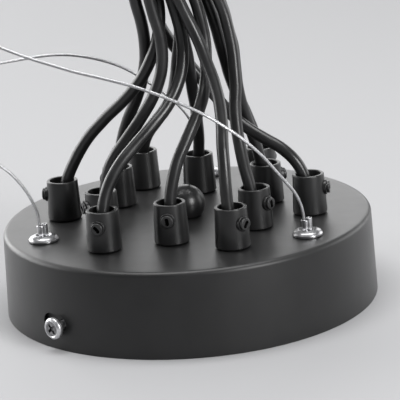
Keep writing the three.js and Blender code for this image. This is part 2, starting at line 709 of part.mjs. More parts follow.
const gripperForm = wireGripper();
const plungerForm = gripperPlunger();
const gripperNutBore = gripperStubRadius + runningGap;
const gripperNutForm = hexagonNut(gripperNutAcross, gripperNutThickness, gripperNutBore, undersideSeat);
for (const [side, { x, y }] of Object.entries(gripperAt)) {
  addPiece(`wire_gripper_${side}`, gripperForm, chromePlate()).position.set(x, y, topSeat);
  addPiece(`gripper_plunger_${side}`, plungerForm, chromePlate()).position.set(x, y, topSeat);
  addPiece(`gripper_nut_${side}`, gripperNutForm, zincPlate()).position.set(x, y, 0);
  const wire = tubeAlong(wireRoutes[side], wireRadius, wireSides, wireStepDiameters);
  addPiece(`suspension_wire_${side}`, wire.geometry, braidedSteel());
  addPiece(`wire_stop_${side}`, wireStop(wire.curve), zincPlate());
}

addPiece('centre_stud', centreStud(), zincPlate());
const studNutBore = studRadius + runningGap;
const studNutForm = hexagonNut(studNutAcross, studNutThickness, studNutBore, undersideSeat);
addPiece('stud_nut', studNutForm, zincPlate());
addPiece('ball_nut', ballNut(), satinBlack());

const strapGroup = new THREE.Group();
strapGroup.rotation.z = strapDirectionDegrees * radiansPerDegree;
chandelier.add(strapGroup);
strapGroup.add(addPiece('mounting_strap', mountingStrap(), blackSteel()));
strapGroup.add(addPiece('terminal_block', terminalBlock(), whitePlastic()));
strapGroup.add(addPiece('side_screw_rear', sideScrew(), chromePlate()));
strapGroup.add(addPiece('side_screw_front', sideScrew().rotateZ(Math.PI), chromePlate()));

addPiece('bundle_tie', bundleTie(), blackPlastic());

export default chandelier;
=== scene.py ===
# %% [markdown]
# # The ceiling canopy of a chandelier
# A round metal cup hides the wiring on the ceiling. Twelve cords leave it through cup-shaped
# grips, three thin steel wires leave it through chrome grippers, and a ball nut closes its
# middle. It is photographed before hanging, standing on its open rim, so +Z points out of the
# flat top. The solids come in as a fixed frame, and every piece made here takes its size from
# that same object. Forms are worked out in millimetres and turn into metres as a mesh is made of
# them.

import bmesh
import bpy
import numpy as np
from mathutils import Matrix, Vector
from mathutils.geometry import tessellate_polygon


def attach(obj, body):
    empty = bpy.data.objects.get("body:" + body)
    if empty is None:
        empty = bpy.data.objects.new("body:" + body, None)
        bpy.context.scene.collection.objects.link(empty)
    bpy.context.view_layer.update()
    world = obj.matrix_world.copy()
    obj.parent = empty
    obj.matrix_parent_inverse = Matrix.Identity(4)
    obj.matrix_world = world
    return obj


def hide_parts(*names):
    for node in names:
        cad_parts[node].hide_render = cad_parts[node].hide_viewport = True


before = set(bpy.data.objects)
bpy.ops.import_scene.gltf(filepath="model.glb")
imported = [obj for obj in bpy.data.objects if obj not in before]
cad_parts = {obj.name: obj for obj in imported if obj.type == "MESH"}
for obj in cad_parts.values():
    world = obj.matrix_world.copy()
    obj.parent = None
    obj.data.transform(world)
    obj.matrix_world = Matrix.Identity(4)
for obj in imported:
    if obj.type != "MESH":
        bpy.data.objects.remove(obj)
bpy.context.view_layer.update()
mm = 0.001

# %% [markdown]
# ## The camera
# The photograph looks down at the canopy by about sixteen degrees, through a long lens held a
# little askew. A camera can be placed by eye or worked out. Here it was worked out from the round
# rim and the grips, so its height, distance, lens and roll are numbers, and three axes place it.

# %% Camera
def in_scene(name, data):
    """A new object in the scene, at the origin."""
    made = bpy.data.objects.new(name, data)
    bpy.context.scene.collection.objects.link(made)
    return made


camera_target = np.array([7.81, 0, 54.12]) * mm
camera_distance = 1217.2 * mm
camera_elevation = np.radians(16.12)
camera_roll = np.radians(-4.21)
frame_pixels = 400
focal_pixels = 2229.7

looking = np.array([0, np.cos(camera_elevation), -np.sin(camera_elevation)])
level = np.array([1, 0, 0])
upright = np.cross(level, looking)
across = level * np.cos(camera_roll) + upright * np.sin(camera_roll)
upward = upright * np.cos(camera_roll) - level * np.sin(camera_roll)

camera_data = bpy.data.cameras.new("camera")
camera_data.lens = focal_pixels / frame_pixels * camera_data.sensor_width
camera = in_scene("camera", camera_data)
camera_place = np.eye(4)
camera_place[:3, :3] = np.stack([across, upward, -looking], axis=1)
camera_place[:3, 3] = camera_target - looking * camera_distance
camera.matrix_world = Matrix(camera_place.tolist())
bpy.context.scene.camera = camera
print("lens", round(camera_data.lens, 1), "mm")

# %% [markdown]
# ## Forms out of arrays
# Nearly every piece is a grid of points: rows along a profile or a path, and columns round it. A
# grid can be turned, swept or shaped by a formula without touching single points, and its faces
# follow from the counts alone. A form is its points, its faces and a place on the surface for
# each corner: the row along it and the share of the way round it. A triangle has -1 as fourth
# corner.

# %% Faces over a grid
def skin(rings, closed=False, first_pole=None, last_pole=None):
    """A form over rings of points. Point j of ring i joins point j + 1 of that ring and points j
    and j + 1 of ring i + 1, and the last point of a ring joins its first. A pole closes an end."""
    count, sides = rings.shape[:2]
    row = np.arange(count if closed else count - 1)[:, None]
    column = np.arange(sides)[None, :]
    after = (column + 1) % sides
    low, high = row * sides, (row + 1) % count * sides
    faces = np.stack([low + column, low + after, high + after, high + column], -1).reshape(-1, 4)
    rows = row[..., None] + np.array([0, 0, 1, 1])
    shares = (column[..., None] + np.array([0, 1, 1, 0])) / sides
    places = np.stack(np.broadcast_arrays(rows, shares), -1).reshape(-1, 4, 2)
    points = rings.reshape(-1, 3)
    for pole, ring, start, end in ((first_pole, 0, after, column),
                                   (last_pole, count - 1, column, after)):
        if pole is None:
            continue
        fan = np.column_stack([ring * sides + start[0], ring * sides + end[0],
                               np.full(sides, len(points)), np.full(sides, -1)])
        spots = np.column_stack([np.full(sides, ring), (column[0] + 0.5) / sides])
        points = np.concatenate([points, [pole]])
        faces = np.concatenate([faces, fan])
        places = np.concatenate([places, np.repeat(spots[:, None], 4, 1)])
    return points, faces, places


def outwards(form):
    """The same form with its faces turned so that they enclose a volume above zero, which is the
    sum of the volumes of the wedges between each triangle and the origin."""
    points, faces, places = form
    fourth = faces[:, 3] >= 0
    a, b, c, d = (points[faces[:, i]] for i in range(4))
    volume = (a * np.cross(b, c)).sum() + (a * np.cross(c, d))[fourth].sum()
    if volume > 0:
        return form
    order = np.where(fourth[:, None], [0, 3, 2, 1], [0, 2, 1, 3])
    places = np.take_along_axis(places, order[..., None], 1)
    return points, np.take_along_axis(faces, order, 1), places


def together(*forms):
    """Several forms as one: the points one after another, and the faces counted on."""
    points, faces, places = zip(*forms)
    starts = np.cumsum([0, *map(len, points)])
    faces = [np.where(some < 0, -1, some + start) for some, start in zip(faces, starts)]
    return np.concatenate(points), np.concatenate(faces), np.concatenate(places)


def mapped(form, axes, place=(0, 0, 0)):
    """The form with its X, Y and Z laid along three axes, and its origin at a place."""
    return form[0] @ np.array(axes) + np.array(place), form[1], form[2]


def moved(form, x=0.0, y=0.0, z=0.0):
    """The form moved along the three axes."""
    return mapped(form, np.eye(3), (x, y, z))


def along_x(form):
    """The form with its height along +X: (x, y, z) goes to (z, x, y)."""
    return mapped(form, [[0, 1, 0], [0, 0, 1], [1, 0, 0]])


def turned_to(form, degrees):
    """The form turned about Z."""
    cosine, sine = np.cos(np.radians(degrees)), np.sin(np.radians(degrees))
    return mapped(form, [[cosine, sine, 0], [-sine, cosine, 0], [0, 0, 1]])


def angles_round(sides):
    """The angles of the points of a ring, in one row."""
    return np.linspace(0, 2 * np.pi, sides, endpoint=False)[None, :]


grid_test = skin(np.zeros((3, 8, 3)), first_pole=np.zeros(3))
print("faces over three rings of eight with one pole:", len(grid_test[1]))

# %% [markdown]
# ## From a form to a mesh, and from a mesh to a piece
# The arrays go into Blender whole. Faces are smooth, and edges sharper than a set angle stay
# crisp. A piece then takes the finishes named for it, a body to ride on, and hides the solid
# that it stands for.

# %% Meshes and pieces
sharp_angle = np.radians(32)
weld = 0.001


def smoothed(mesh):
    """The mesh with smooth faces, but for the edges that are sharper than the set angle."""
    mesh.polygons.foreach_set("use_smooth", np.ones(len(mesh.polygons), bool))
    mesh.set_sharp_from_angle(angle=sharp_angle)
    return mesh


def mesh_of(name, *forms):
    """A mesh with the points, faces and surface places of the forms."""
    points, faces, places = together(*(outwards(form) for form in forms))
    used = faces >= 0
    counts = used.sum(1)
    mesh = bpy.data.meshes.new(name)
    mesh.vertices.add(len(points))
    mesh.loops.add(int(counts.sum()))
    mesh.polygons.add(len(faces))
    mesh.vertices.foreach_set("co", (points * mm).astype(np.float32).ravel())
    mesh.polygons.foreach_set("loop_start", np.concatenate([[0], np.cumsum(counts)[:-1]]))
    mesh.loops.foreach_set("vertex_index", faces[used])
    layer = mesh.uv_layers.new(name="surface")
    layer.data.foreach_set("uv", places[used].astype(np.float32).ravel())
    mesh.update(calc_edges=True)
    return smoothed(mesh)


def carved(mesh, *forms, operation="DIFFERENCE"):
    """The mesh with the forms cut out of it, or joined to it, by an exact Boolean. Points that it
    leaves nearer to each other than the weld become one, so no sliver is left."""
    body, tool = in_scene("body", mesh), in_scene("tool", mesh_of("tool", *forms))
    cut = body.modifiers.new("cut", "BOOLEAN")
    cut.operation, cut.object, cut.solver = operation, tool, "EXACT"
    bpy.context.view_layer.update()
    made = body.evaluated_get(bpy.context.evaluated_depsgraph_get())
    result = bpy.data.meshes.new_from_object(made)
    result.name = mesh.name
    net = bmesh.new()
    net.from_mesh(result)
    bmesh.ops.remove_doubles(net, verts=net.verts, dist=weld * mm)
    net.to_mesh(result)
    net.free()
    for helper in (body, tool):
        bpy.data.objects.remove(helper)
    return smoothed(result)


def placed(mesh, degrees, x=0.0, y=0.0, z=0.0, twist=0.0):
    """A copy of a mesh, twisted about +X by degrees, turned about +Z and then moved."""
    copy = mesh.copy()
    copy.transform(Matrix.Translation((x * mm, y * mm, z * mm))
                   @ Matrix.Rotation(np.radians(degrees), 4, "Z")
                   @ Matrix.Rotation(np.radians(twist), 4, "X"))
    return copy


def piece(name, mesh, finish, body="canopy", stands_for=None):
    """An object at the origin that rides on a body and takes one finish or more, by name."""
    for one in finish.split():
        mesh.materials.append(finishes[one])
    made = in_scene(name, mesh)
    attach(made, body)
    if stands_for:
        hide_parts(stands_for)
    return made


print("edges sharper than", round(np.degrees(sharp_angle)), "degrees stay crisp")

# %% [markdown]
# ## Profiles
# Turned parts come off a lathe or out of a round mould, so they start as an outline of radius and
# height. Real edges are never sharp: a small arc in each corner of the outline catches the light.

# %% Rounded outlines and turned forms
def rounded(corners, steps=5, closed=False):
    """The outline through corners [x, y, radius], with an arc of that radius in each. The arc
    touches both sides at radius / tan(half the corner's angle) from the corner, and its centre
    lies on the line that halves the angle. Where a side is too short, the arc is made smaller. An
    open outline keeps its two ends."""
    corners = np.asarray(corners, float)
    corners, radii = corners[:, :2], corners[:, 2]
    back, on = np.roll(corners, 1, 0) - corners, np.roll(corners, -1, 0) - corners
    back_long, on_long = np.linalg.norm(back, axis=1), np.linalg.norm(on, axis=1)
    back, on = back / back_long[:, None], on / on_long[:, None]
    half = np.arccos(np.clip((back * on).sum(1), -1, 1)) / 2
    touch = np.minimum(radii / np.tan(half), 0.49 * np.minimum(back_long, on_long))
    radius = touch * np.tan(half)
    middle = back + on
    middle /= np.maximum(np.linalg.norm(middle, axis=1), 1e-12)[:, None]
    centre = corners + middle * (radius / np.sin(half))[:, None]
    start, end = corners + back * touch[:, None] - centre, corners + on * touch[:, None] - centre
    sweep = np.maximum(np.pi - 2 * half, 1e-9)[:, None]
    share = np.linspace(0, 1, steps + 1)[None, :]
    first = (np.sin((1 - share) * sweep) / np.sin(sweep))[..., None]
    second = (np.sin(share * sweep) / np.sin(sweep))[..., None]
    arcs = centre[:, None] + first * start[:, None] + second * end[:, None]
    if closed:
        points = arcs.reshape(-1, 2)
    else:
        points = np.concatenate([corners[:1], arcs[1:-1].reshape(-1, 2), corners[-1:]])
    fresh = np.linalg.norm(points - np.roll(points, 1, 0), axis=1) > 1e-5
    return points[fresh]


def turned(profile, sides=96, closed=False, bulge=None):
    """A profile of [radius, height] turned round Z: x = radius * cos(angle) and y = radius *
    sin(angle). A profile end on the axis becomes a pole. bulge(angle, profile) adds to the
    radius."""
    profile = np.asarray(profile, float)
    poles = [None if closed or radius > 0 else np.array([0, 0, height])
             for radius, height in profile[[0, -1]]]
    profile = profile[(0 if poles[0] is None else 1):(None if poles[1] is None else -1)]
    angle = angles_round(sides)
    height = profile[:, 1:] + 0 * angle
    radius = profile[:, :1] + (bulge(angle, profile) if bulge else 0 * angle)
    rings = np.stack([radius * np.cos(angle), radius * np.sin(angle), height], -1)
    return skin(rings, closed, *poles)


def rod(radius, low, high, sides=48):
    """A round cutter from one height to another."""
    return turned([[0, low], [radius, low], [radius, high], [0, high]], sides)


square = rounded([[0, 0, 0.2], [1, 0, 0.2], [1, 1, 0.2], [0, 1, 0.2]], 5, True)
print("a square with rounded corners has", len(square), "points")

# %% [markdown]
# ## Routes
# A cord or wire follows a given list of points. The solids join the points by a smooth
# curve that passes through each one, and the same curve is worked out here, so that both lie
# together.

# %% Curves through points, and tubes along them
def curve_through(points, step):
    """Centripetal Catmull-Rom curve with a point every step. Between two points the curve is a
    cubic that leaves and arrives along tangents taken from their neighbours, which are weighted
    by the square roots of the distances. The first and last point are mirrored to give the ends
    theirs."""
    points = np.asarray(points, float)
    points = np.concatenate([[2 * points[0] - points[1]], points, [2 * points[-1] - points[-2]]])
    root = np.sqrt(np.linalg.norm(np.diff(points, axis=0), axis=1))[:, None]
    before, here, there, beyond = points[:-3], points[1:-2], points[2:-1], points[3:]
    d0, d1, d2 = root[:-2], root[1:-1], root[2:]
    leave = ((here - before) / d0 - (there - before) / (d0 + d1) + (there - here) / d1) * d1
    arrive = ((there - here) / d1 - (beyond - here) / (d1 + d2) + (beyond - there) / d2) * d1
    t = np.linspace(0, 1, 60, endpoint=False)[None, :, None]
    here, there, leave, arrive = (v[:, None] for v in (here, there, leave, arrive))
    cubic = (here + leave * t + (3 * there - 3 * here - 2 * leave - arrive) * t ** 2
             + (2 * here - 2 * there + leave + arrive) * t ** 3)
    dense = np.concatenate([cubic.reshape(-1, 3), points[-2:-1]])
    along = np.concatenate([[0], np.cumsum(np.linalg.norm(np.diff(dense, axis=0), axis=1))])
    at = np.linspace(0, along[-1], int(np.ceil(along[-1] / step)) + 1)
    return np.stack([np.interp(at, along, dense[:, k]) for k in range(3)], 1)


def length_of(line):
    """The distances from each point to the next, added up."""
    return float(np.linalg.norm(np.diff(line, axis=0), axis=1).sum())


def directions(line):
    """The line's direction at each point, and two directions square to it and to each other. The
    first of them is square to whichever axis the line keeps farthest away from."""
    ahead = np.gradient(line, axis=0)
    ahead /= np.linalg.norm(ahead, axis=1)[:, None]
    guide = np.eye(3)[np.abs(ahead).max(0).argmin()]
    side = np.cross(guide, ahead)
    side /= np.linalg.norm(side, axis=1)[:, None]
    return ahead, side, np.cross(ahead, side)


def tube(line, radius, sides=32):
    """A round or lobed tube: centre + radius * (cos(angle) * side + sin(angle) * other side).
    radius is one number, or an array with a row for each ring and a column for each side."""
    _, side, other = directions(line)
    angle = angles_round(sides)[..., None]
    radius = np.broadcast_to(radius, (len(line), sides))[..., None]
    outward = np.cos(angle) * side[:, None] + np.sin(angle) * other[:, None]
    return skin(line[:, None] + radius * outward, False, line[0], line[-1])


straight = curve_through([[0, 0, 0], [0, 0, 20]], 1)
print("a straight route of 20 mm measures", round(length_of(straight), 4))

# %% [markdown]
# ## Finishes
# Black objects live by their surface: powder coat breaks a reflection into a soft sheen, moulded
# plastic is a little smoother, a cord's sheath is smoother still along its length, and the
# plating here is satin, so it shows bright patches and no clear mirror image. Each finish is one
# shader with fine noise that moves its colour, its roughness and its height a little, at the size
# that the real grain has. Noise reads Object coordinates, in metres.

# %% Parts that the finishes share
finishes = {}


def new_finish(name, roughness, metallic=0.0):
    """A material with one shader, its uniform values set on the shader's own sockets."""
    material = bpy.data.materials.new(name)
    material.use_nodes = True
    finishes[name] = material
    shader = material.node_tree.nodes["Principled BSDF"]
    shader.inputs["Roughness"].default_value = roughness
    shader.inputs["Metallic"].default_value = metallic
    return material, shader


def node(material, kind, **values):
    """A node with its inputs set by name, from numbers or from other sockets."""
    made = material.node_tree.nodes.new(kind)
    for name, value in values.items():
        if hasattr(made, name):
            setattr(made, name, value)
            continue
        socket = made.inputs[int(name[1:]) if name[0] == "_" else name.replace("_", " ")]
        if isinstance(value, bpy.types.NodeSocket):
            material.node_tree.links.new(value, socket)
        else:
            socket.default_value = value
    return made


def grain(material, size, detail=2.0, vector=None):
    """Noise whose features are about size metres wide."""
    if vector is None:
        vector = node(material, "ShaderNodeTexCoord").outputs["Object"]
    return node(material, "ShaderNodeTexNoise", Vector=vector, Scale=1 / size,
                Detail=detail).outputs["Fac"]


def between(material, factor, low, high, start=0.3, end=0.7):
    """A number or a colour that goes from low to high as the factor goes from start to end."""
    if np.ndim(low) == 0:
        return node(material, "ShaderNodeMapRange", Value=factor, From_Min=start, From_Max=end,
                    To_Min=low, To_Max=high).outputs["Result"]
    share = node(material, "ShaderNodeMapRange", Value=factor, From_Min=start, From_Max=end)
    mix = node(material, "ShaderNodeMix", data_type="RGBA", _0=share.outputs["Result"],
               _6=(*low, 1), _7=(*high, 1))
    return mix.outputs[2]


def connect(material, value, socket):
    """A link from a value's socket to another one."""
    material.node_tree.links.new(value, socket)


def raised(material, shader, height, distance):
    """Bump: the height, from 0 to 1, times the distance in metres."""
    bump = node(material, "ShaderNodeBump", Height=height, Distance=distance, Strength=1.0)
    connect(material, bump.outputs["Normal"], shader.inputs["Normal"])


def grey(value):
    """A grey with a breath of blue in it. A colour given as three numbers stays as it is."""
    return value if np.ndim(value) else (value, value, value * 1.02)


print("finishes read Object coordinates in metres")

# %% Painted, moulded and plated finishes
# Darkest, palest, smoothest and roughest, the grain's width and depth, metal, the cloud's width.
finish_table = {
    "powder_coat": (0.007, 0.01, 0.5, 0.58, 0.5, 0.01, 0, 12),
    "moulded_black": (0.009, 0.013, 0.3, 0.38, 0.35, 0.008, 0, 12),
    "black_screw": (0.016, 0.026, 0.3, 0.4, 0.3, 0.006, 0, 12),
    # Nearly black with little shine: painted shade inside the grip screws' slots.
    "slot_black": (0.001, 0.003, 0.8, 0.95, 0.3, 0.02, 0, 12),
    "satin_ball": (0.01, 0.014, 0.3, 0.34, 0.8, 0.004, 0, 12),
    "strap_paint": (0.02, 0.035, 0.45, 0.6, 0.6, 0.02, 0, 12),
    "nylon_black": (0.013, 0.02, 0.38, 0.5, 0.4, 0.006, 0, 12),
    "white_moulding": ((0.72, 0.7, 0.64), (0.78, 0.76, 0.7), 0.4, 0.5, 0.5, 0.01, 0, 12),
    "chrome_plate": (0.43, 0.52, 0.28, 0.34, 0.5, 0.003, 1, 3),
    "nickel_plate": (0.56, 0.7, 0.34, 0.42, 0.4, 0.01, 1, 1.6),
    # Darker steel for the side screws: painted shade behind the head and a painted darker
    # reflection in the face.
    "stamped_steel": (0.14, 0.34, 0.3, 0.45, 0.3, 0.03, 1, 1.2),
    "zinc_plate": (0.5, 0.66, 0.28, 0.42, 0.4, 0.01, 1, 3),
    "wire_steel": (0.44, 0.56, 0.34, 0.42, 0.2, 0.004, 1, 2),
    "copper": ((0.72, 0.33, 0.18), (0.8, 0.42, 0.26), 0.25, 0.35, 0.2, 0.01, 1, 1),
    "core_brown": ((0.09, 0.035, 0.018), (0.12, 0.05, 0.025), 0.35, 0.45, 0.4, 0.004, 0, 12),
    "core_blue": ((0.02, 0.08, 0.25), (0.03, 0.11, 0.32), 0.35, 0.45, 0.4, 0.004, 0, 12),
}
for name, (dark, pale, smooth, rough, width, depth, metal, cloud) in finish_table.items():
    material, shader = new_finish(name, (smooth + rough) / 2, metal)
    fine, slow = grain(material, width * mm), grain(material, cloud * mm, 3.0)
    connect(material, between(material, slow, grey(dark), grey(pale)), shader.inputs["Base Color"])
    connect(material, between(material, slow, smooth, rough), shader.inputs["Roughness"])
    raised(material, shader, fine, depth * mm)

own_values = {
    "powder_coat": {"Specular IOR Level": 0.15, "Coat Weight": 1.0, "Coat Roughness": 0.4,
                    "Coat IOR": 1.38},
    "slot_black": {"Specular IOR Level": 0.04},
}
for name, values in own_values.items():
    for socket, value in values.items():
        finishes[name].node_tree.nodes["Principled BSDF"].inputs[socket].default_value = value
print("finishes made:", len(finishes))

# %% [markdown]
# The sheath of a cord is drawn out of a nozzle, so its fine lines run lengthwise. Object
# coordinates know nothing of a cord's direction. The surface map does: it gives the ring along
# the cord and the share of the way round. The share goes through a cosine and a sine, so that the
# noise closes on itself with no seam.

# %% Sheath and striped core
lines_along, lines_round = 0.02, 9.0


def surface_place(material):
    """The ring along a form as X and the share of the way round it as Y."""
    places = node(material, "ShaderNodeUVMap", uv_map="surface").outputs["UV"]
    return node(material, "ShaderNodeSeparateXYZ", Vector=places).outputs


def round_places(material):
    """(ring * lines_along, cos(2 pi share) * lines_round, sin(2 pi share) * lines_round)."""
    place = surface_place(material)
    turn = node(material, "ShaderNodeMath", operation="MULTIPLY", _0=place["Y"], _1=2 * np.pi)
    cosine = node(material, "ShaderNodeMath", operation="COSINE", _0=turn.outputs[0])
    sine = node(material, "ShaderNodeMath", operation="SINE", _0=turn.outputs[0])
    joined = node(material, "ShaderNodeCombineXYZ", X=place["X"], Y=cosine.outputs[0],
                  Z=sine.outputs[0])
    return node(material, "ShaderNodeVectorMath", operation="MULTIPLY", _0=joined.outputs[0],
                _1=(lines_along, lines_round, lines_round)).outputs[0]


material, shader = new_finish("cord_sheath", 0.34)
drawn_lines = grain(material, 1.0, 3.0, round_places(material))
handling = grain(material, 9 * mm, 4.0)
handled = between(material, handling, grey(0.01), grey(0.016))
connect(material, handled, shader.inputs["Base Color"])
connect(material, between(material, handling, 0.29, 0.38), shader.inputs["Roughness"])
raised(material, shader, drawn_lines, 0.012 * mm)

material, shader = new_finish("core_earth", 0.4)
green, yellow = (0.05, 0.22, 0.03), (0.6, 0.5, 0.03)
stripe = between(material, surface_place(material)["Y"], green, yellow, 0.49, 0.51)
connect(material, stripe, shader.inputs["Base Color"])
raised(material, shader, grain(material, 0.4 * mm), 0.004 * mm)
print("sheath and core finishes made")

# %% [markdown]
# ## The twelve cords
# Each is a round mains cord, 6.5 mm thick, with three twisted cores in a black sheath. It comes
# up through its grip, bends towards the middle and joins the bundle, which something beyond the
# picture holds up. Where the sheath lies over the twisted cores it bulges by a hair, which makes
# its highlight waver. Their lengths follow from the routes, since the picture cuts them off.

# %% Cord routes, in millimetres, from inside the stub to the far end
cord_routes = {
    1: [[-67, 11.8, 39.5], [-66.8, 11.8, 53], [-64, 11.3, 68], [-58.5, 10, 79.5], [-51, 8, 91],
        [-40.5, 4, 102.5], [-29.5, -1, 113], [-20.5, -4.5, 123], [-14, -6.5, 133.5],
        [-9.5, -7, 143.5], [-7, -7, 154], [-6.5, -6.5, 165], [-9, -5, 180], [-13.5, -3, 197],
        [-18.5, -2.5, 214], [-22, -2.5, 226]],
    2: [[-45.1, -16.4, 39.5], [-45, -16.4, 53], [-42.5, -15.5, 68], [-40, -16, 78.5],
        [-35.5, -17.5, 87.5], [-28.5, -18.5, 96.5], [-21, -18, 106], [-13.5, -17, 117],
        [-8.5, -16, 128], [-6.5, -15.5, 139], [-7, -15.5, 150.5], [-9.5, -15.5, 162],
        [-12.5, -15.5, 179], [-15, -15.5, 196.5], [-18.5, -15.5, 214], [-22, -15.5, 226]],
    3: [[-43.7, -52.1, 39.5], [-43.7, -51.9, 53], [-43, -49, 68], [-39.5, -46, 78.5],
        [-33, -42.5, 88.5], [-24.5, -38, 97], [-15, -33, 105.5], [-6.5, -27, 113.5],
        [-0.7, -21, 121.5], [3, -16.3, 130.5], [4.5, -13, 140.5], [4, -12, 151], [2, -12, 162],
        [-2.5, -11, 179.5], [-8.5, -9.5, 197], [-14.5, -9, 215], [-18.5, -9, 227.5]],
    4: [[-36.8, 30.9, 39.5], [-36.7, 30.8, 53], [-35, 29, 68], [-34, 25.5, 78.5], [-31.5, 21, 89],
        [-27.5, 16, 100], [-22.5, 11, 111], [-18.5, 6.5, 122.5], [-16, 2, 134], [-15.5, -3, 146],
        [-16.5, -7, 157.5], [-18.5, -9.5, 168], [-20, -10.5, 182.5], [-20.5, -10, 197.5],
        [-22, -9, 212.5], [-25.5, -9, 225]],
    5: [[-23.3, 63.9, 39.5], [-23.2, 63.7, 53], [-22.4, 61.3, 68], [-19.3, 55, 78.5],
        [-13.8, 45, 88], [-8, 32.5, 98], [-3, 20, 110], [-0.5, 9.5, 121.5], [1, 1.5, 132],
        [2.7, -2.6, 142], [3.8, -4.3, 151.5], [3.2, -4.5, 162], [0.5, -4, 179.5], [-5, -3, 197.5],
        [-11, -2.5, 216], [-15, -2.5, 228.5]],
    6: [[-8.3, -47.3, 39.5], [-8.3, -47.1, 53], [-7.8, -44.5, 68], [-6, -43, 77],
        [-2.5, -40, 87.5], [3, -35.5, 97.5], [8.5, -30, 107], [13, -24, 116.5], [15.5, -17, 125.5],
        [16.5, -11.5, 135.5], [16.5, -9, 146], [15, -8.5, 156.5], [13, -8, 166], [7.5, -7.5, 182],
        [0, -8.5, 199], [-7.5, -9, 217], [-11, -9, 229.5]],
    7: [[8.3, 47.3, 39.5], [8.4, 47.1, 53], [9, 44.7, 68], [9.7, 40, 78.5], [9.5, 33, 90.5],
        [9, 24.5, 102], [8, 16.5, 113], [7.5, 10.5, 124], [6.8, 7, 134], [5.5, 5, 143.5],
        [4.5, 3.5, 153], [2.5, 3, 163], [-0.5, 4, 180.5], [-3, 4.5, 198.5], [-7.5, 4.5, 217],
        [-11, 4.5, 229.5]],
    8: [[23.3, -63.9, 39.5], [23.2, -63.8, 53], [21.8, -61.8, 68], [21.5, -60, 79.5],
        [21.5, -57, 89.5], [21.5, -52.5, 99], [22, -46, 108.5], [21.5, -39, 118],
        [19.5, -32, 127.5], [16.5, -26, 136.5], [13.5, -21.5, 146], [9.5, -19, 156],
        [5.5, -18.5, 166], [-0.5, -18.5, 182], [-5.5, -16.5, 198.5], [-11, -15.5, 216],
        [-15, -15.5, 228.5]],
    9: [[36.8, -30.9, 39.5], [36.7, -30.8, 53], [34.7, -29, 68], [32.5, -28, 79], [31, -27, 89.5],
        [30, -25, 100], [30, -22.5, 111], [31, -20, 121.5], [31, -17.5, 132], [30.5, -15.5, 142],
        [29, -14, 152], [26.5, -13, 163], [18.5, -14.5, 181.5], [6.5, -15.5, 199],
        [-3.5, -15.5, 218], [-7.5, -15.5, 230.5]],
    10: [[45.1, 16.4, 39.5], [45, 16.4, 53], [42.8, 15.7, 68], [41, 15, 78], [38.5, 14.5, 87.5],
         [36, 13, 96.5], [33.8, 10.5, 106], [32.5, 7.5, 116], [32, 4.5, 127], [31.5, 1.5, 137.5],
         [29.5, -1.5, 148], [27.5, -4, 159], [21, -7, 179], [9, -8.5, 198.5], [0, -9, 219.5],
         [-4, -9, 231.5]],
    11: [[67, -11.8, 39.5], [66.8, -11.8, 53], [64.2, -11.3, 68], [60.2, -10, 75.5],
         [53.5, -7, 82], [45, -3, 87], [36, 2, 92.5], [28.5, 8, 98.5], [22, 14, 106],
         [15.5, 19, 114], [9.5, 21, 122.5], [4, 19.5, 130.5], [-1.5, 15.5, 139.5],
         [-6, 12, 148.5], [-9, 9.5, 157.5], [-11.5, 8, 166], [-13.5, 6.5, 181], [-13, 5, 198],
         [-14.5, 4.5, 215], [-18.5, 4.5, 227.5]],
    12: [[43.7, 52.1, 39.5], [43.6, 51.9, 53], [42, 49.8, 68], [41, 45, 77.5], [38.5, 38.5, 87],
         [35.5, 31, 97], [32, 24.5, 107], [29, 18.5, 118], [27, 13.5, 128], [25, 9.5, 138],
         [23, 6, 148.5], [20.5, 3.5, 159], [13.5, 0, 179], [4.5, -2, 198], [-3.5, -2.5, 218],
         [-7.5, -2.5, 230.5]],
}
print("cords:", len(cord_routes))

# %% Cords with their stripped cores
cord_radius, cord_step = 3.25, 0.8
lay_pitch, lay_swell = 52, 0.035
stripped_above, hanging_below = 6, 12
flare_above, flare_below = 0.5, 2.2
core_radius, core_circle = 1.05, 1.5
strand_radius, copper_tip = 0.62, 3
cut_end = 0.93


def cord_skin(line, sides=40):
    """A round tube whose radius swells by lay_swell over three cores that turn once in lay_pitch:
    radius + swell * cos(3 * (angle - turn)). The cut ends are drawn in by a hair."""
    turn = (np.arange(len(line)) * cord_step / lay_pitch * 2 * np.pi)[:, None]
    radius = cord_radius - lay_swell * (0.5 - 0.5 * np.cos(3 * (angles_round(sides) - turn)))
    radius[[0, -1]] *= cut_end
    return tube(line, radius, sides)


def core_lines(start, ahead, side, other, reach, flare):
    """Three core centrelines that leave a cord's end at thirds of a turn round its middle. Each
    runs ahead by reach and moves outwards by flare times the square of the share it has run."""
    share = np.linspace(-0.15, 1, 24)[:, None]
    apart = core_circle + flare * np.maximum(share, 0) ** 2
    for third in np.arange(3) * 2 * np.pi / 3:
        outward = np.cos(third) * side + np.sin(third) * other
        yield start + ahead * share * reach + outward * apart


def core_ends(line):
    """The insulated cores at both ends of a cord, and the bare strands at their tips."""
    ahead, side, other = directions(line)
    insulation, strands = [], []
    for end, sign, reach, flare in ((0, -1, hanging_below, flare_below),
                                    (-1, 1, stripped_above, flare_above)):
        lines = core_lines(line[end], sign * ahead[end], side[end], other[end],
                           reach - copper_tip, flare)
        for number, core in enumerate(lines):
            insulation.append((number, tube(core, core_radius, 16)))
            onward = (core[-1] - core[-2]) / np.linalg.norm(core[-1] - core[-2])
            tip = core[-1] + onward * np.linspace(-0.1, 1, 8)[:, None] * copper_tip
            strands.append(tube(tip, strand_radius, 14))
    return insulation, strands


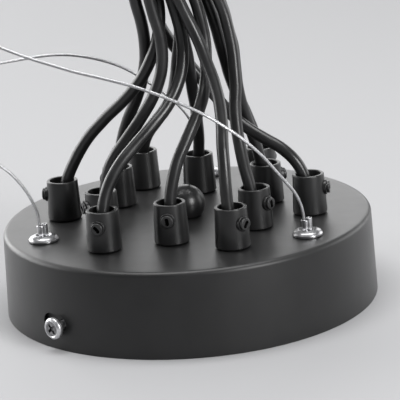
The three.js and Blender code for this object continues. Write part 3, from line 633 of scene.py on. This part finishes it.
cord_pieces = {}
for number, route in cord_routes.items():
    line = curve_through(route, cord_step)
    full = length_of(line)
    line = line[:len(line) - int(stripped_above / cord_step)]
    name = f"cord_{number:02d}"
    cord = piece(name + "_sheath", mesh_of(name, cord_skin(line)), "cord_sheath",
                 stands_for=name)
    insulation, strands = core_ends(line)
    forms = [form for _, form in insulation] + strands
    kinds = [kind for kind, _ in insulation] + [3] * len(strands)
    mesh = mesh_of(name + "_cores", *forms)
    face_kinds = np.repeat(kinds, [len(form[1]) for form in forms])
    mesh.polygons.foreach_set("material_index", face_kinds)
    cores = piece(name + "_cores", mesh, "core_brown core_blue core_earth copper")
    cord_pieces[number] = (cord, cores, line, full)
print("cord lengths in mm:", {n: round(full) for n, (_, _, _, full) in cord_pieces.items()})

# %% [markdown]
# ## The three suspension wires
# They carry the canopy's weight. Each is a steel rope of fine wires with twelve of them in its
# outer layer. A round tube would shine in one line, but the real rope breaks its highlight into a
# row of short slanting dashes, so the outer wires are shaped. A crimped sleeve ends each rope.

# %% Wire ropes
wire_routes = {
    "left": [[-78.7, -28, 39], [-78.7, -28, 56], [-79.3, -28.2, 62], [-81, -29, 68],
             [-83.5, -30, 74], [-87, -31, 80], [-91, -32, 85.5], [-96, -33, 90.5],
             [-101.5, -34, 95]],
    "right": [[61.2, -52.7, 39], [61.2, -52.7, 56], [59.7, -53.5, 64], [56.7, -55, 71],
              [53, -56.5, 76.5], [48, -58.5, 83.5], [42, -61, 92], [36, -63, 99],
              [29.5, -64.5, 105.5], [23.5, -65.5, 110.5], [17, -66, 115.5], [10, -66, 120],
              [-3.5, -65, 127], [-20, -62.5, 134], [-36, -59.5, 139], [-51, -56, 143],
              [-64, -52, 147], [-75, -48, 150.5], [-85, -43.5, 154], [-95, -39, 158]],
    "rear": [[12.6, 80.8, 39], [12.6, 80.8, 56], [11.3, 80.3, 64], [8, 79, 74], [2.5, 77, 85.5],
             [-6.5, 75, 96], [-16, 73, 104.5], [-24.5, 71, 111.5], [-33, 69, 117],
             [-43, 67, 121.5], [-54, 65, 125], [-65, 63, 127], [-76, 60.5, 127.5],
             [-87, 58, 127], [-98, 55, 126.5], [-106, 53, 126]],
}
wire_step = 0.35
strand_pitch, strand_circle, strand_half = 9, 0.665, 0.175
post_top = 56


def rope(line, sides=72):
    """Twelve round wires on a circle: radius = circle * cos(a) + sqrt(half ** 2 - (circle *
    sin(a)) ** 2), where a is the angle from the nearest wire. They turn once in each pitch."""
    turn = (np.arange(len(line)) * wire_step / strand_pitch * 2 * np.pi)[:, None]
    nearest = (angles_round(sides) - turn + np.pi / 12) % (np.pi / 6) - np.pi / 12
    rest = np.maximum(strand_half ** 2 - (strand_circle * np.sin(nearest)) ** 2, 0)
    return tube(line, strand_circle * np.cos(nearest) + np.sqrt(rest), sides)


wire_pieces = {}
for side, route in wire_routes.items():
    line = curve_through(route, wire_step)
    name = f"suspension_wire_{side}"
    wire = piece(name + "_rope", mesh_of(name, rope(line)), "wire_steel", stands_for=name)
    wire_pieces[side] = (wire, line)
print("wire lengths in mm:", {n: round(length_of(line)) for n, (_, line) in wire_pieces.items()})

# %% Crimped stops on the wires
stop_length, stop_radius, stop_bore, stop_neck, stop_gap = 8, 2, 0.8, 1.3, 0.3
crimp_places = np.array([4.3, 5.7, 7.1])
crimp_depth, crimp_width = 0.2, 0.4


def crimps(angle, profile):
    """Each crimp presses the sleeve in by its depth over its width, deepest on six sides."""
    away = (profile[:, 1:] - crimp_places) / crimp_width
    depth = np.exp(-away ** 2).sum(1)[:, None] * (profile[:, :1] > 0.9 * stop_radius)
    return -crimp_depth * depth * (0.7 + 0.3 * np.cos(6 * angle))


sleeve = [[stop_neck, 0, 0.3], [stop_radius, 3.2, 0]]
sleeve += [[stop_radius, height, 0] for height in np.linspace(3.6, 7.6, 36)]
sleeve += [[stop_radius, stop_length, 0.3], [stop_bore, stop_length, 0.15], [stop_bore, 0, 0.15]]
sleeve_form = turned(rounded(sleeve, 4, True), 64, True, crimps)
for side, (wire, line) in wire_pieces.items():
    (ahead, _), (aside, _), (other, _) = directions(line[-2:])
    form = mapped(sleeve_form, [aside, other, ahead], line[-1] + ahead * stop_gap)
    name = f"wire_stop_{side}"
    stop = piece(name + "_sleeve", mesh_of(name, form), "zinc_plate",
                 stands_for=name)
    leaves = line[np.abs(line[:, 2] - post_top).argmin()]
print("stops added")

# %% [markdown]
# ## The canopy
# A cup spun or pressed out of 1.2 mm sheet steel and powder coated in black. Its wall leans in by
# a degree or two towards the flat top, and the edge between them is a small round that catches a
# thin bright line. All holes are cut through the sheet, so it is a turned wall of real thickness
# with the holes taken out of it.

# %% Plates out of outlines
def drawn_in(outline, distance):
    """Each corner moved to where its two sides meet after moving to their left by the distance."""
    on = np.roll(outline, -1, 0) - outline
    on /= np.linalg.norm(on, axis=1)[:, None]
    left = np.stack([-on[:, 1], on[:, 0]], 1)
    both = left + np.roll(left, 1, 0)
    share = 1 + (left * np.roll(left, 1, 0)).sum(1)[:, None]
    return outline + distance * both / share


def plate(outlines, low, high, edge=0.0, steps=4):
    """An outline, and its holes, as a plate between two heights. The outline runs anticlockwise
    and its holes clockwise. Each edge is a quarter round: drawn in by edge * (1 - sin(a)) where it
    has risen by edge * (1 - cos(a))."""
    bend = np.linspace(0, np.pi / 2, steps + 1 if edge else 1)
    inward, rise = edge * (1 - np.sin(bend)), edge * (1 - np.cos(bend))
    inward, heights = [*inward, *inward[::-1]], [*(low + rise), *(high - rise[::-1])]
    forms, firsts, lasts, count = [], [], [], 0
    for outline in outlines:
        rings = np.stack([np.column_stack([drawn_in(outline, draw), np.full(len(outline), height)])
                          for draw, height in zip(inward, heights)])
        forms.append(skin(rings))
        first = count + np.arange(len(outline))
        firsts.append(first)
        lasts.append(first + (len(rings) - 1) * len(outline))
        count += rings.shape[0] * rings.shape[1]
    points, faces, places = together(*forms)
    firsts, lasts = np.concatenate(firsts), np.concatenate(lasts)
    flat = [[Vector((x, y, 0)) for x, y in drawn_in(outline, inward[0])] for outline in outlines]
    caps = np.array(tessellate_polygon(flat))
    a, b, c = (points[firsts[caps[:, i]]][:, :2] for i in range(3))
    turning = (b - a)[:, 0] * (c - a)[:, 1] - (b - a)[:, 1] * (c - a)[:, 0]
    caps = np.where(turning[:, None] > 0, caps, caps[:, [0, 2, 1]])
    ends = np.concatenate([firsts[caps[:, [0, 2, 1]]], lasts[caps]])
    ends = np.column_stack([ends, -np.ones(len(ends), int)])
    places = np.concatenate([places, np.zeros((len(ends), 4, 2))])
    return points, np.concatenate([faces, ends]), places


def obround(length, width, x=0.0, steps=16):
    """An outline of two half circles joined by straight sides, its length along X."""
    reach, angle = (length - width) / 2, np.linspace(-np.pi / 2, np.pi / 2, steps + 1)
    right = np.column_stack([reach + width / 2 * np.cos(angle), width / 2 * np.sin(angle)])
    return np.concatenate([right, -right]) + np.array([x, 0])


def rectangle(length, width, corner, x=0.0, y=0.0, steps=4):
    """An outline of four corners round (x, y), each with an arc of the corner's radius."""
    half_x, half_y = length / 2, width / 2
    corners = [[x - half_x, y - half_y, corner], [x + half_x, y - half_y, corner],
               [x + half_x, y + half_y, corner], [x - half_x, y + half_y, corner]]
    return rounded(corners, steps, True)


print("an obround has", len(obround(10, 4)), "points")

# %% Where the fittings stand
seat = 46.3
strap_degrees = 46.5
side_screw_height = 13
grip_rings = (48, 68)
gripper_ring = 82
turned_screws = {3: 23, 8: 20}


def spot(radius, degrees):
    """The point (radius * cos(degrees), radius * sin(degrees))."""
    return radius * np.cos(np.radians(degrees)), radius * np.sin(np.radians(degrees))


grip_places = {}
for place, pair in enumerate(zip((10, 7, 4, 2, 6, 9), (12, 5, 1, 3, 8, 11))):
    for number, ring, degrees in zip(pair, grip_rings, (20 + 60 * place, 50 + 60 * place)):
        grip_places[number] = (*spot(ring, degrees), degrees + turned_screws.get(number, 0))
gripper_places = {side: spot(gripper_ring, degrees)
                  for side, degrees in (("left", 200), ("right", 320), ("rear", 80))}
print("grips:", len(grip_places), "grippers:", len(gripper_places))

# %% Canopy shell
canopy_height, canopy_rim, canopy_top, canopy_sheet, canopy_edge = 46, 102, 100.5, 1.2, 3.2
stud_hole, grip_hole, gripper_hole = 3.3, 5.2, 4.2
slot_length, slot_width, slot_aside, slot_height = 17, 10, -3.3, 13.9
canopy_inside = canopy_height - canopy_sheet
shell_corners = [[stud_hole, canopy_height, 0.15], [95, canopy_height, 0],
                 [canopy_top, canopy_height, canopy_edge], [canopy_rim, 0, 0.35],
                 [canopy_rim - canopy_sheet, 0, 0.35],
                 [canopy_top - canopy_sheet, canopy_inside, canopy_edge - canopy_sheet],
                 [stud_hole, canopy_inside, 0.15]]
shell = mesh_of("canopy_shell", turned(rounded(shell_corners, 8, True), 288, True))
punch_low, punch_high = 43, 48
punches = [moved(rod(grip_hole, punch_low, punch_high), x, y) for x, y, _ in grip_places.values()]
punches += [moved(rod(gripper_hole, punch_low, punch_high), *at) for at in gripper_places.values()]
slot_form = along_x(plate([obround(slot_length, slot_width)], 98, 104))
slot_form = moved(slot_form, 0, slot_aside, slot_height)
punches += [turned_to(slot_form, strap_degrees), turned_to(slot_form, strap_degrees + 180)]
shell = carved(shell, *punches)
piece("canopy_shell_coated", shell, "powder_coat", stands_for="canopy_shell")
print("canopy shell faces:", len(shell.polygons))

# %% [markdown]
# ## The cord grips
# Each is a moulded cup on a threaded stub that goes through the canopy and takes a hexagon nut
# inside. The cord comes up through the stub, and a set screw in a round boss clamps it. One cup,
# one nut and one screw are shaped once and set in twelve places.

# %% Threads and hexagon nuts
rows_per_turn = 8


def threaded(before, thread, after, steps=5, sides=96, closed=False):
    """A turned form with a thread between two lists of corners. The thread gives its radius, its
    low and high end, its pitch and its depth. The radius loses a sawtooth of that depth, which
    follows height / pitch minus the share of the turn and fades in over one pitch at each end."""
    radius, low, high, pitch, depth = thread
    heights = np.linspace(low, high, int(np.ceil(rows_per_turn * (high - low) / pitch)) + 1)

    def bulge(angle, profile):
        height = profile[:, 1:]
        wave = np.abs((height / pitch - angle / (2 * np.pi)) % 1 - 0.5) * 2
        fade = np.clip(np.minimum(height - low, high - height) / pitch, 0, 1)
        return -depth * wave * fade * (np.abs(profile[:, :1] - radius) < 1e-4)

    corners = [*before, *([radius, height, 0] for height in heights), *after]
    return turned(rounded(corners, steps, closed), sides, closed, bulge)


def hexagon_nut(across, thickness, bore, top, lead=0.4):
    """A nut whose outside is turned as two cones, 0.96 * across / 2 + depth below the face *
    sqrt(3), and then cut to six flats: across / 2 / cos(angle from the middle of a flat)."""
    def flats(angle, profile):
        hexagon = across / 2 / np.cos(angle % (np.pi / 3) - np.pi / 6)
        return np.minimum(hexagon - profile[:, :1], 0)

    depth = np.linspace(0, 0.13 * across, 14)
    cone, bottom = 0.96 * across / 2 + depth * np.sqrt(3), top - thickness
    profile = [*zip(cone, bottom + depth), *zip(cone[::-1], top - depth[::-1]), (bore + lead, top),
               (bore, top - lead), (bore, bottom + lead), (bore + lead, bottom)]
    return turned(profile, 96, True, flats)


print("a thread has", rows_per_turn, "rows to a turn")

# %% Cord grips and their lock nuts
grip_screw_height, boss_radius, screw_hole_radius = 13.9, 4, 2.25
cup = threaded([[3.75, -8.3, 0.3], [4.9, -8.3, 0.5]], (4.9, -7.5, -0.5, 1, 0.5),
               [[4.9, 0, 0], [8.5, 0, 0.3], [9.35, 0.8, 0.4], [8.47, 21.8, 0.55],
                [6.75, 21.8, 0.4], [6.75, 5.8, 0.5], [3.75, 5.8, 0.3]], closed=True)
boss_profile = rounded([[0, 7.25, 0], [boss_radius, 7.25, 0], [boss_radius, 9.755, 0.35],
                        [0, 9.755, 0]])
boss = moved(along_x(turned(boss_profile, 64)), 0, 0, grip_screw_height)
screw_hole = moved(along_x(rod(screw_hole_radius, 5, 12, 40)), 0, 0, grip_screw_height)
grip_mesh = carved(carved(mesh_of("cord_grip", cup), boss, operation="UNION"), screw_hole)
lock_nut = mesh_of("lock_nut", hexagon_nut(14, 4, 4.95, -1.8))
for number, (x, y, facing) in sorted(grip_places.items()):
    label = f"{number:02d}"
    piece("grip_cup_" + label, placed(grip_mesh, facing, x, y, seat), "moulded_black",
          stands_for="cord_grip_" + label)
    piece("lock_nut_" + label, placed(lock_nut, facing + 7 * number, x, y, seat), "zinc_plate")
print("grip faces:", len(grip_mesh.polygons))

# %% [markdown]
# ## The grips' set screws
# A round blackened head with a short slot stands just off the boss, and its plated end shines in
# the cup. The inside of the slot is painted blacker than the face, a painted shade for the
# recess. Nobody lines such slots up, so each is turned its own way.

# %% Grip screws
def along_and_off(mesh):
    """How far along X the middle of each face lies, and how far off that axis."""
    middles = np.empty(3 * len(mesh.polygons))
    mesh.polygons.foreach_get("center", middles)
    x, y, z = middles.reshape(-1, 3).T / mm
    return x, np.hypot(y, z)


head_start, head_end, head_radius, slot_depth = 10.055, 11.35, 3.25, 1.05
head_profile = rounded([[0, head_start, 0], [head_radius, head_start, 0.2],
                        [head_radius, head_end, 0.5], [0, head_end, 0]])
head_slot = plate([obround(4.2, 2.1)], head_end - slot_depth, head_end + 1, 0.1)
screw_head = carved(mesh_of("grip_screw_head", along_x(turned(head_profile, 64))),
                    along_x(head_slot))
along, off = along_and_off(screw_head)
# The faces inside the slot take the near-black finish: painted shade in the recess.
painted_shade_slot_faces = (along > head_end - slot_depth - 0.1) & (along < head_end - 0.12) & (off < 2.3)
screw_head.polygons.foreach_set("material_index", painted_shade_slot_faces.astype(int))
screw_shank = mesh_of("grip_screw_shank", along_x(threaded(
    [[0, 3, 0], [1.95, 3, 0.5]], (1.95, 3.6, 9.8, 0.7, 0.32), [[1.95, 10.2, 0], [0, 10.2, 0]],
    sides=48)))
slot_turns = {1: 12, 2: 65, 3: 40, 4: 96, 5: 20, 6: 6, 7: 150, 8: -35, 9: 8, 10: 118, 11: 55,
              12: 31}
for number, (x, y, facing) in sorted(grip_places.items()):
    label = f"{number:02d}"
    place = (facing, x, y, seat + grip_screw_height, slot_turns[number] + 90)
    piece("grip_screw_head_" + label, placed(screw_head, *place), "black_screw slot_black",
          "screw_of_grip_" + label, "grip_screw_" + label)
    piece("grip_screw_shank_" + label, placed(screw_shank, *place), "zinc_plate",
          body="screw_of_grip_" + label)
print("grip screws:", len(slot_turns), "slot faces:", painted_shade_slot_faces.sum())

# %% [markdown]
# ## The wire grippers
# A plated flange stands on the canopy with a dimple in its middle, and a slim post stands in
# that. The post is half a sleeve, and the wire runs through it. Pressing the small tube beside
# the wire lets the jaws inside let go. The flange is turned brass, with a steep rim and a flat
# dome.

# %% Wire grippers, releasing tubes and nuts
post_aside, wire_aside, wire_hole_radius = -0.95, -1.65, 1.1
tube_aside, tube_bore, tube_radius, tube_low, tube_high = 1.1, 0.85, 1.6, 1.6, 9.3
well_radius, well_floor = 1.8, -0.3
flange = threaded([[0, -8.3, 0], [3.9, -8.3, 0.4]], (3.9, -7.6, -0.5, 1, 0.5),
                  [[3.9, 0, 0], [8, 0, 0.2], [8, 1.1, 0.5], [7, 2.3, 2], [4.4, 3.35, 1.6],
                   [2.9, 2.5, 0.8], [0, 2.4, 0]], 7)
post = rounded([[0, 1.5, 0], [1.8, 1.5, 0], [1.9, 3, 1], [2.3, 8.3, 0.4], [0, 8.3, 0]])
well = moved(rod(well_radius, well_floor, 12), tube_aside)
wire_hole = moved(rod(wire_hole_radius, -10, 12), wire_aside)
gripper_mesh = carved(mesh_of("wire_gripper", flange), moved(turned(post, 64), post_aside),
                      operation="UNION")
gripper_mesh = carved(carved(gripper_mesh, well), wire_hole)
tube_profile = rounded([[tube_bore, tube_low, 0.2], [tube_radius, tube_low, 0.25],
                        [tube_radius, tube_high, 0.3], [tube_bore, tube_high, 0.25]], 5, True)
tube_mesh = mesh_of("gripper_plunger", moved(turned(tube_profile, 64, True), tube_aside))
gripper_nut = mesh_of("gripper_nut", hexagon_nut(11, 3.5, 3.95, -1.8))
for side, (x, y) in gripper_places.items():
    piece("gripper_body_" + side, placed(gripper_mesh, 0, x, y, seat), "chrome_plate",
          stands_for="wire_gripper_" + side)
    piece("gripper_tube_" + side, placed(tube_mesh, 0, x, y, seat), "chrome_plate",
          "plunger_" + side, "gripper_plunger_" + side)
    piece("gripper_hexagon_" + side, placed(gripper_nut, 11, x, y, seat), "zinc_plate",
          stands_for="gripper_nut_" + side)
print("gripper faces:", len(gripper_mesh.polygons))

# %% [markdown]
# ## The ball nut and its stud
# A satin black ball screws onto the centre stud and hides its end. It is flattened where it sits,
# so it is an arc turned round the axis, closed by a flat ring with a blind hole in it.

# %% Ball nut, stud and stud nut
ball_radius, ball_centre, ball_hole_depth = 10.6, 6.45, 8
flat_angle = np.arccos(ball_centre / ball_radius)
arc_angle = np.linspace(flat_angle + 0.06, np.pi, 60)
arc = np.column_stack([ball_radius * np.sin(arc_angle),
                       ball_centre - ball_radius * np.cos(arc_angle)])
arc[-1, 0] = 0
foot = rounded([[0, ball_hole_depth, 0], [stud_hole, ball_hole_depth, 0], [stud_hole, 0, 0.3],
                [ball_radius * np.sin(flat_angle), 0, 0.25], [*arc[0], 0]])
ball_form = moved(turned(np.concatenate([foot, arc[1:]]), 128), 0, 0, seat)
piece("ball_nut_turned", mesh_of("ball_nut", ball_form), "satin_ball", "ball", "ball_nut")

stud_form = threaded([[0, 38, 0], [3, 38, 0.5]], (3, 38.6, 53, 1, 0.5),
                     [[3, 53.6, 0.5], [0, 53.6, 0]], 4, 64)
piece("centre_stud_threaded", mesh_of("centre_stud", stud_form), "zinc_plate",
      stands_for="centre_stud")
piece("stud_nut_hexagon", mesh_of("stud_nut", hexagon_nut(10, 5, 3.05, 44.5)), "zinc_plate",
      stands_for="stud_nut")
print("ball stands", round(seat + ball_centre + ball_radius, 2), "mm high")

# %% [markdown]
# ## The mounting strap and its side screws
# A flat bar bent up at both ends is fixed to the ceiling, and two screws through slots in the
# wall hold the canopy to it. The bar is an outline seen from the side, given its width, with its
# bends rounded as a press leaves them, and then drilled.

# %% Mounting strap
strap_reach, strap_half, tab_top, tab_thickness = 98.4076, 12, 24.3, 2
strap_low, strap_high, tab_corner = 0.3, 2.3, 5
tab_inside = strap_reach - tab_thickness
middle_hole, tap_radius, ceiling_slot, ceiling_slot_at = 5, 2.8, (28, 6.5), 34
bend_corners = [[strap_reach, strap_low, 3.2], [strap_reach, tab_top, 0.3],
                [tab_inside, tab_top, 0.3], [tab_inside, strap_high, 1.2]]
bend_corners += [[-x, z, radius] for x, z, radius in reversed(bend_corners)]
bar = mapped(plate([rounded(bend_corners, 6, True)], -strap_half, strap_half, 0.25),
             [[1, 0, 0], [0, 0, 1], [0, -1, 0]])
corner = rounded([[strap_half - tab_corner, 26, 0], [strap_half - tab_corner, tab_top, 0],
                  [strap_half, tab_top, tab_corner - 0.01], [strap_half, tab_top - tab_corner, 0],
                  [14, tab_top - tab_corner, 0], [14, 26, 0]], 10, True)
tools = [rod(middle_hole, -1, 4, 64)]
tools += [plate([obround(*ceiling_slot, x)], -1, 4) for x in (-ceiling_slot_at, ceiling_slot_at)]
tools += [moved(along_x(rod(tap_radius, x - 5, x + 5)), 0, 0, side_screw_height)
          for x in (-strap_reach, strap_reach)]
tools += [along_x(plate([outline], x - 4, x + 4))
          for outline in (corner, (corner * np.array([-1, 1]))[::-1]) for x in (-97.4, 97.4)]
strap = carved(mesh_of("mounting_strap", bar), *tools)
piece("mounting_strap_bent", placed(strap, strap_degrees), "strap_paint",
      stands_for="mounting_strap")
print("strap faces:", len(strap.polygons))

# %% Side screws
side_tip, side_shoulder, side_head = 93.0076, 101.2076, 104.5636
side_dish, side_face, side_radius, neck_radius, recess_depth = 107.1636, 107.7636, 5.75, 3.8, 2
side_form = threaded([[0, side_tip, 0], [2.5, side_tip, 0.5]], (2.5, 93.6, 101, 0.8, 0.4),
                     [[2.5, side_shoulder, 0], [neck_radius, side_shoulder, 0.25],
                      [neck_radius, side_head, 0], [side_radius, side_head, 0.3],
                      [side_radius, side_head + 1.8, 0.9], [4.5, side_face, 0.8],
                      [3.8, side_dish, 0.2], [0, side_dish, 0]], 6)
wing = np.array([[0.8, 0.8], [0.62, 3], [-0.62, 3]])
cross = np.concatenate([wing, wing @ [[0, 1], [-1, 0]], -wing, wing @ [[0, -1], [1, 0]]])
cross = rounded(np.column_stack([cross, np.full(len(cross), 0.15)]), 3, True)
recess = along_x(plate([cross], side_face - recess_depth, side_face + 1))
side_mesh = carved(mesh_of("side_screw", along_x(side_form)), recess)
along, off = along_and_off(side_mesh)
# The collar and thread behind the head and the middle of the face take a darker steel: painted
# shade behind the head and a painted darker reflection in the dished face.
painted_shade_faces = (along < side_head) | (off < 3.9)
side_mesh.polygons.foreach_set("material_index", painted_shade_faces.astype(int))
recess_turn = np.degrees(0.7)
for side, degrees in (("rear", strap_degrees), ("front", strap_degrees + 180)):
    piece("side_screw_turned_" + side,
          placed(side_mesh, degrees, 0, 0, side_screw_height, recess_turn),
          "nickel_plate stamped_steel", "screw_of_side_" + side,
          "side_screw_" + side)
print("side screw head", 2 * side_radius, "mm wide")

# %% [markdown]
# ## The terminal block
# Mains cores end in a small white block with a screw well over each. The wells, the wire mouths
# and the grooves between the poles are cut out of a block with soft edges.

# %% Terminal block
block_centre, block_low, block_high = 72.0076, 2.6, 15
pole_places, row_places = (-10, 0, 10), (-4.5, 4.5)
screw_well, well_bottom, mouth_radius, mouth_height = 2, 9, 1.9, 6.2
slit_low, groove_low, cutters_top = 11.4, 13, 16
block = mesh_of("terminal_block", plate([rectangle(30, 18, 0.8)], block_low, block_high, 0.6))
screw_form = turned(rounded([[0, 8.5, 0], [1.7, 8.5, 0], [1.7, 12, 0.25], [0, 12, 0]]), 40)
mouth = along_x(rod(mouth_radius, 7, 11))
tools, mouths, screws, slots = [], [], [], []
for x in pole_places:
    for y in row_places:
        tools.append(moved(rod(screw_well, well_bottom, cutters_top), x, y))
        screws.append(moved(screw_form, x, y))
        slots.append(plate([rectangle(3.6, 0.6, 0.05, x, y)], slit_low, groove_low))
    mouths += [moved(turned_to(mouth, degrees), x, 0, mouth_height) for degrees in (90, -90)]
tools += [plate([rectangle(1, 20, 0.2, x)], groove_low, cutters_top) for x in (-5, 5)]
block = placed(carved(carved(block, *tools), *mouths), 0, block_centre)
piece("terminal_block_moulded", placed(block, strap_degrees), "white_moulding",
      stands_for="terminal_block")
block_screws = placed(carved(mesh_of("block_screws", *screws), *slots), 0, block_centre)
piece("terminal_screws", placed(block_screws, strap_degrees), "zinc_plate")
print("terminal screws:", len(screws))

# %% [markdown]
# ## The tie
# A nylon band holds the cords together just beyond the picture. It runs round the outer cords of
# the bundle as a string would, so its outline is an arc round each of them joined by straight
# lines.

# %% Bundle tie
cord_pitch, row_pitch = 7.6, 6.6
corner_cords = np.array([[-1, -1.5], [1, -1.5], [1.5, -0.5], [0.5, 1.5], [-0.5, 1.5],
                         [-1.5, -0.5]]) * np.array([cord_pitch, row_pitch])
band_inside, band_outside, band_half = 0.5, 1.9, 2.5
tie_centre, tie_lean = np.array([-11, -5.6, 216]), np.radians(-16.86)


def band_outline(grow, steps=14):
    """An arc round each corner cord, from square to the side before it to square to the side after
    it, with the cord's radius plus grow."""
    before = corner_cords - np.roll(corner_cords, 1, 0)
    after = np.roll(corner_cords, -1, 0) - corner_cords
    start = np.arctan2(before[:, 1], before[:, 0]) - np.pi / 2
    sweep = (np.arctan2(after[:, 1], after[:, 0]) - np.pi / 2 - start) % (2 * np.pi)
    angle = start[:, None] + sweep[:, None] * np.linspace(0, 1, steps + 1)
    arcs = np.stack([np.cos(angle), np.sin(angle)], -1) * (cord_radius + grow)
    return (corner_cords[:, None] + arcs).reshape(-1, 2)


def leaned(form):
    """Turned about Y by the tie's lean and moved to its place."""
    cosine, sine = np.cos(tie_lean), np.sin(tie_lean)
    return mapped(form, [[cosine, 0, -sine], [0, 1, 0], [sine, 0, cosine]], tie_centre)


band = plate([band_outline(band_outside), band_outline(band_inside)[::-1]], -band_half, band_half,
             0.35)
lock = plate([rectangle(8, 4.4, 0.9, 0, -15.95)], -3.25, 3.25, 0.4)
tail = plate([rectangle(10.4, 1.2, 0.25, 0.4, -16.6)], -2.3, 2.3, 0.15)
tie = mesh_of("bundle_tie", leaned(band), leaned(lock), leaned(tail))
tie_piece = piece("bundle_tie_nylon", tie, "nylon_black", stands_for="bundle_tie")
print("tie faces:", len(tie.polygons))

# %% [markdown]
# ## Where each cord leaves its grip
# A cord bends. The point where each one lies level with the floor of its grip's bore is found,
# and the first one's is printed. The tie's lock lies against cord 8.

grip_bore_floor = 52.1
for number, (cord, cores, line, full) in cord_pieces.items():
    leaves = line[np.abs(line[:, 2] - grip_bore_floor).argmin()]
    if number == 1:
        print("first cord leaves its grip's hole at", np.round(leaves, 1))

# %% [markdown]
# ## Floor and light
# The canopy stands on a pale grey surface that runs far behind it; its colour grows a little
# darker on the way, a painted shade for the light that falls off far back. One tall soft light
# stands in front on the right, a wide one hangs overhead, and three large ones behind draw the
# bright edges on the black pieces. Faint pale surroundings fill the rest.

# %% Floor
floor_half, floor_lines = 4.0, 9
floor_rows = np.linspace(-floor_half, floor_half, floor_lines)
floor_points = np.stack([*np.meshgrid(floor_rows, floor_rows, indexing="ij"),
                         np.zeros((floor_lines, floor_lines))], -1).reshape(-1, 3)
index = np.arange(floor_lines ** 2).reshape(floor_lines, floor_lines)
floor_faces = np.stack([index[:-1, :-1], index[1:, :-1], index[1:, 1:], index[:-1, 1:]], -1)
floor_mesh = bpy.data.meshes.new("floor")
floor_mesh.from_pydata(floor_points.tolist(), [], floor_faces.reshape(-1, 4).tolist())
material, shader = new_finish("floor_paper", 0.7)
floor_place = node(material, "ShaderNodeSeparateXYZ",
                   Vector=node(material, "ShaderNodeTexCoord").outputs["Object"])
# The paper darkens towards the back: painted shade for light that falls off far from the lamps.
paper_with_painted_falloff = between(material, floor_place.outputs["Y"], grey(0.38), grey(0.34), -0.1, 1.0)
connect(material, paper_with_painted_falloff, shader.inputs["Base Color"])
raised(material, shader, grain(material, 1.5 * mm), 0.02 * mm)
floor_mesh.materials.append(material)
floor = in_scene("floor", floor_mesh)
print("floor is", 2 * floor_half, "m wide")

# %% Lights and surroundings
world = bpy.data.worlds.new("surroundings")
world.use_nodes = True
background = world.node_tree.nodes["Background"]
background.inputs["Color"].default_value = (0.9, 0.92, 0.95, 1)
background.inputs["Strength"].default_value = 0.2
bpy.context.scene.world = world

# Place, height of the target over the middle of the floor, width and height in metres, and watts.
soft_lights = {
    "front_right": ((1.15, -1.3, 0.8), 0.08, (0.5, 0.9), 28),
    "overhead": ((0, 0, 1.5), 0.05, (1.4, 0.6), 22),
    "behind_left": ((-1.4, 0.9, 0.55), 0.05, (2.0, 0.9), 28),
    "behind": ((-0.2, 2.0, 0.75), 0.05, (2.4, 0.9), 16),
    "behind_right": ((1.7, 0.9, 0.5), 0.05, (1.8, 1.0), 14),
}
for name, (place, target_height, size, power) in soft_lights.items():
    data = bpy.data.lights.new(name, "AREA")
    data.shape = "RECTANGLE"
    data.size, data.size_y = size
    data.energy = power
    light = in_scene(name, data)
    light.location = place
    facing = Vector((0, 0, target_height)) - Vector(place)
    light.rotation_euler = facing.to_track_quat("-Z", "Y").to_euler()
    light.visible_camera = False
bpy.context.scene.view_settings.view_transform = "Standard"
print("lights:", len(soft_lights))
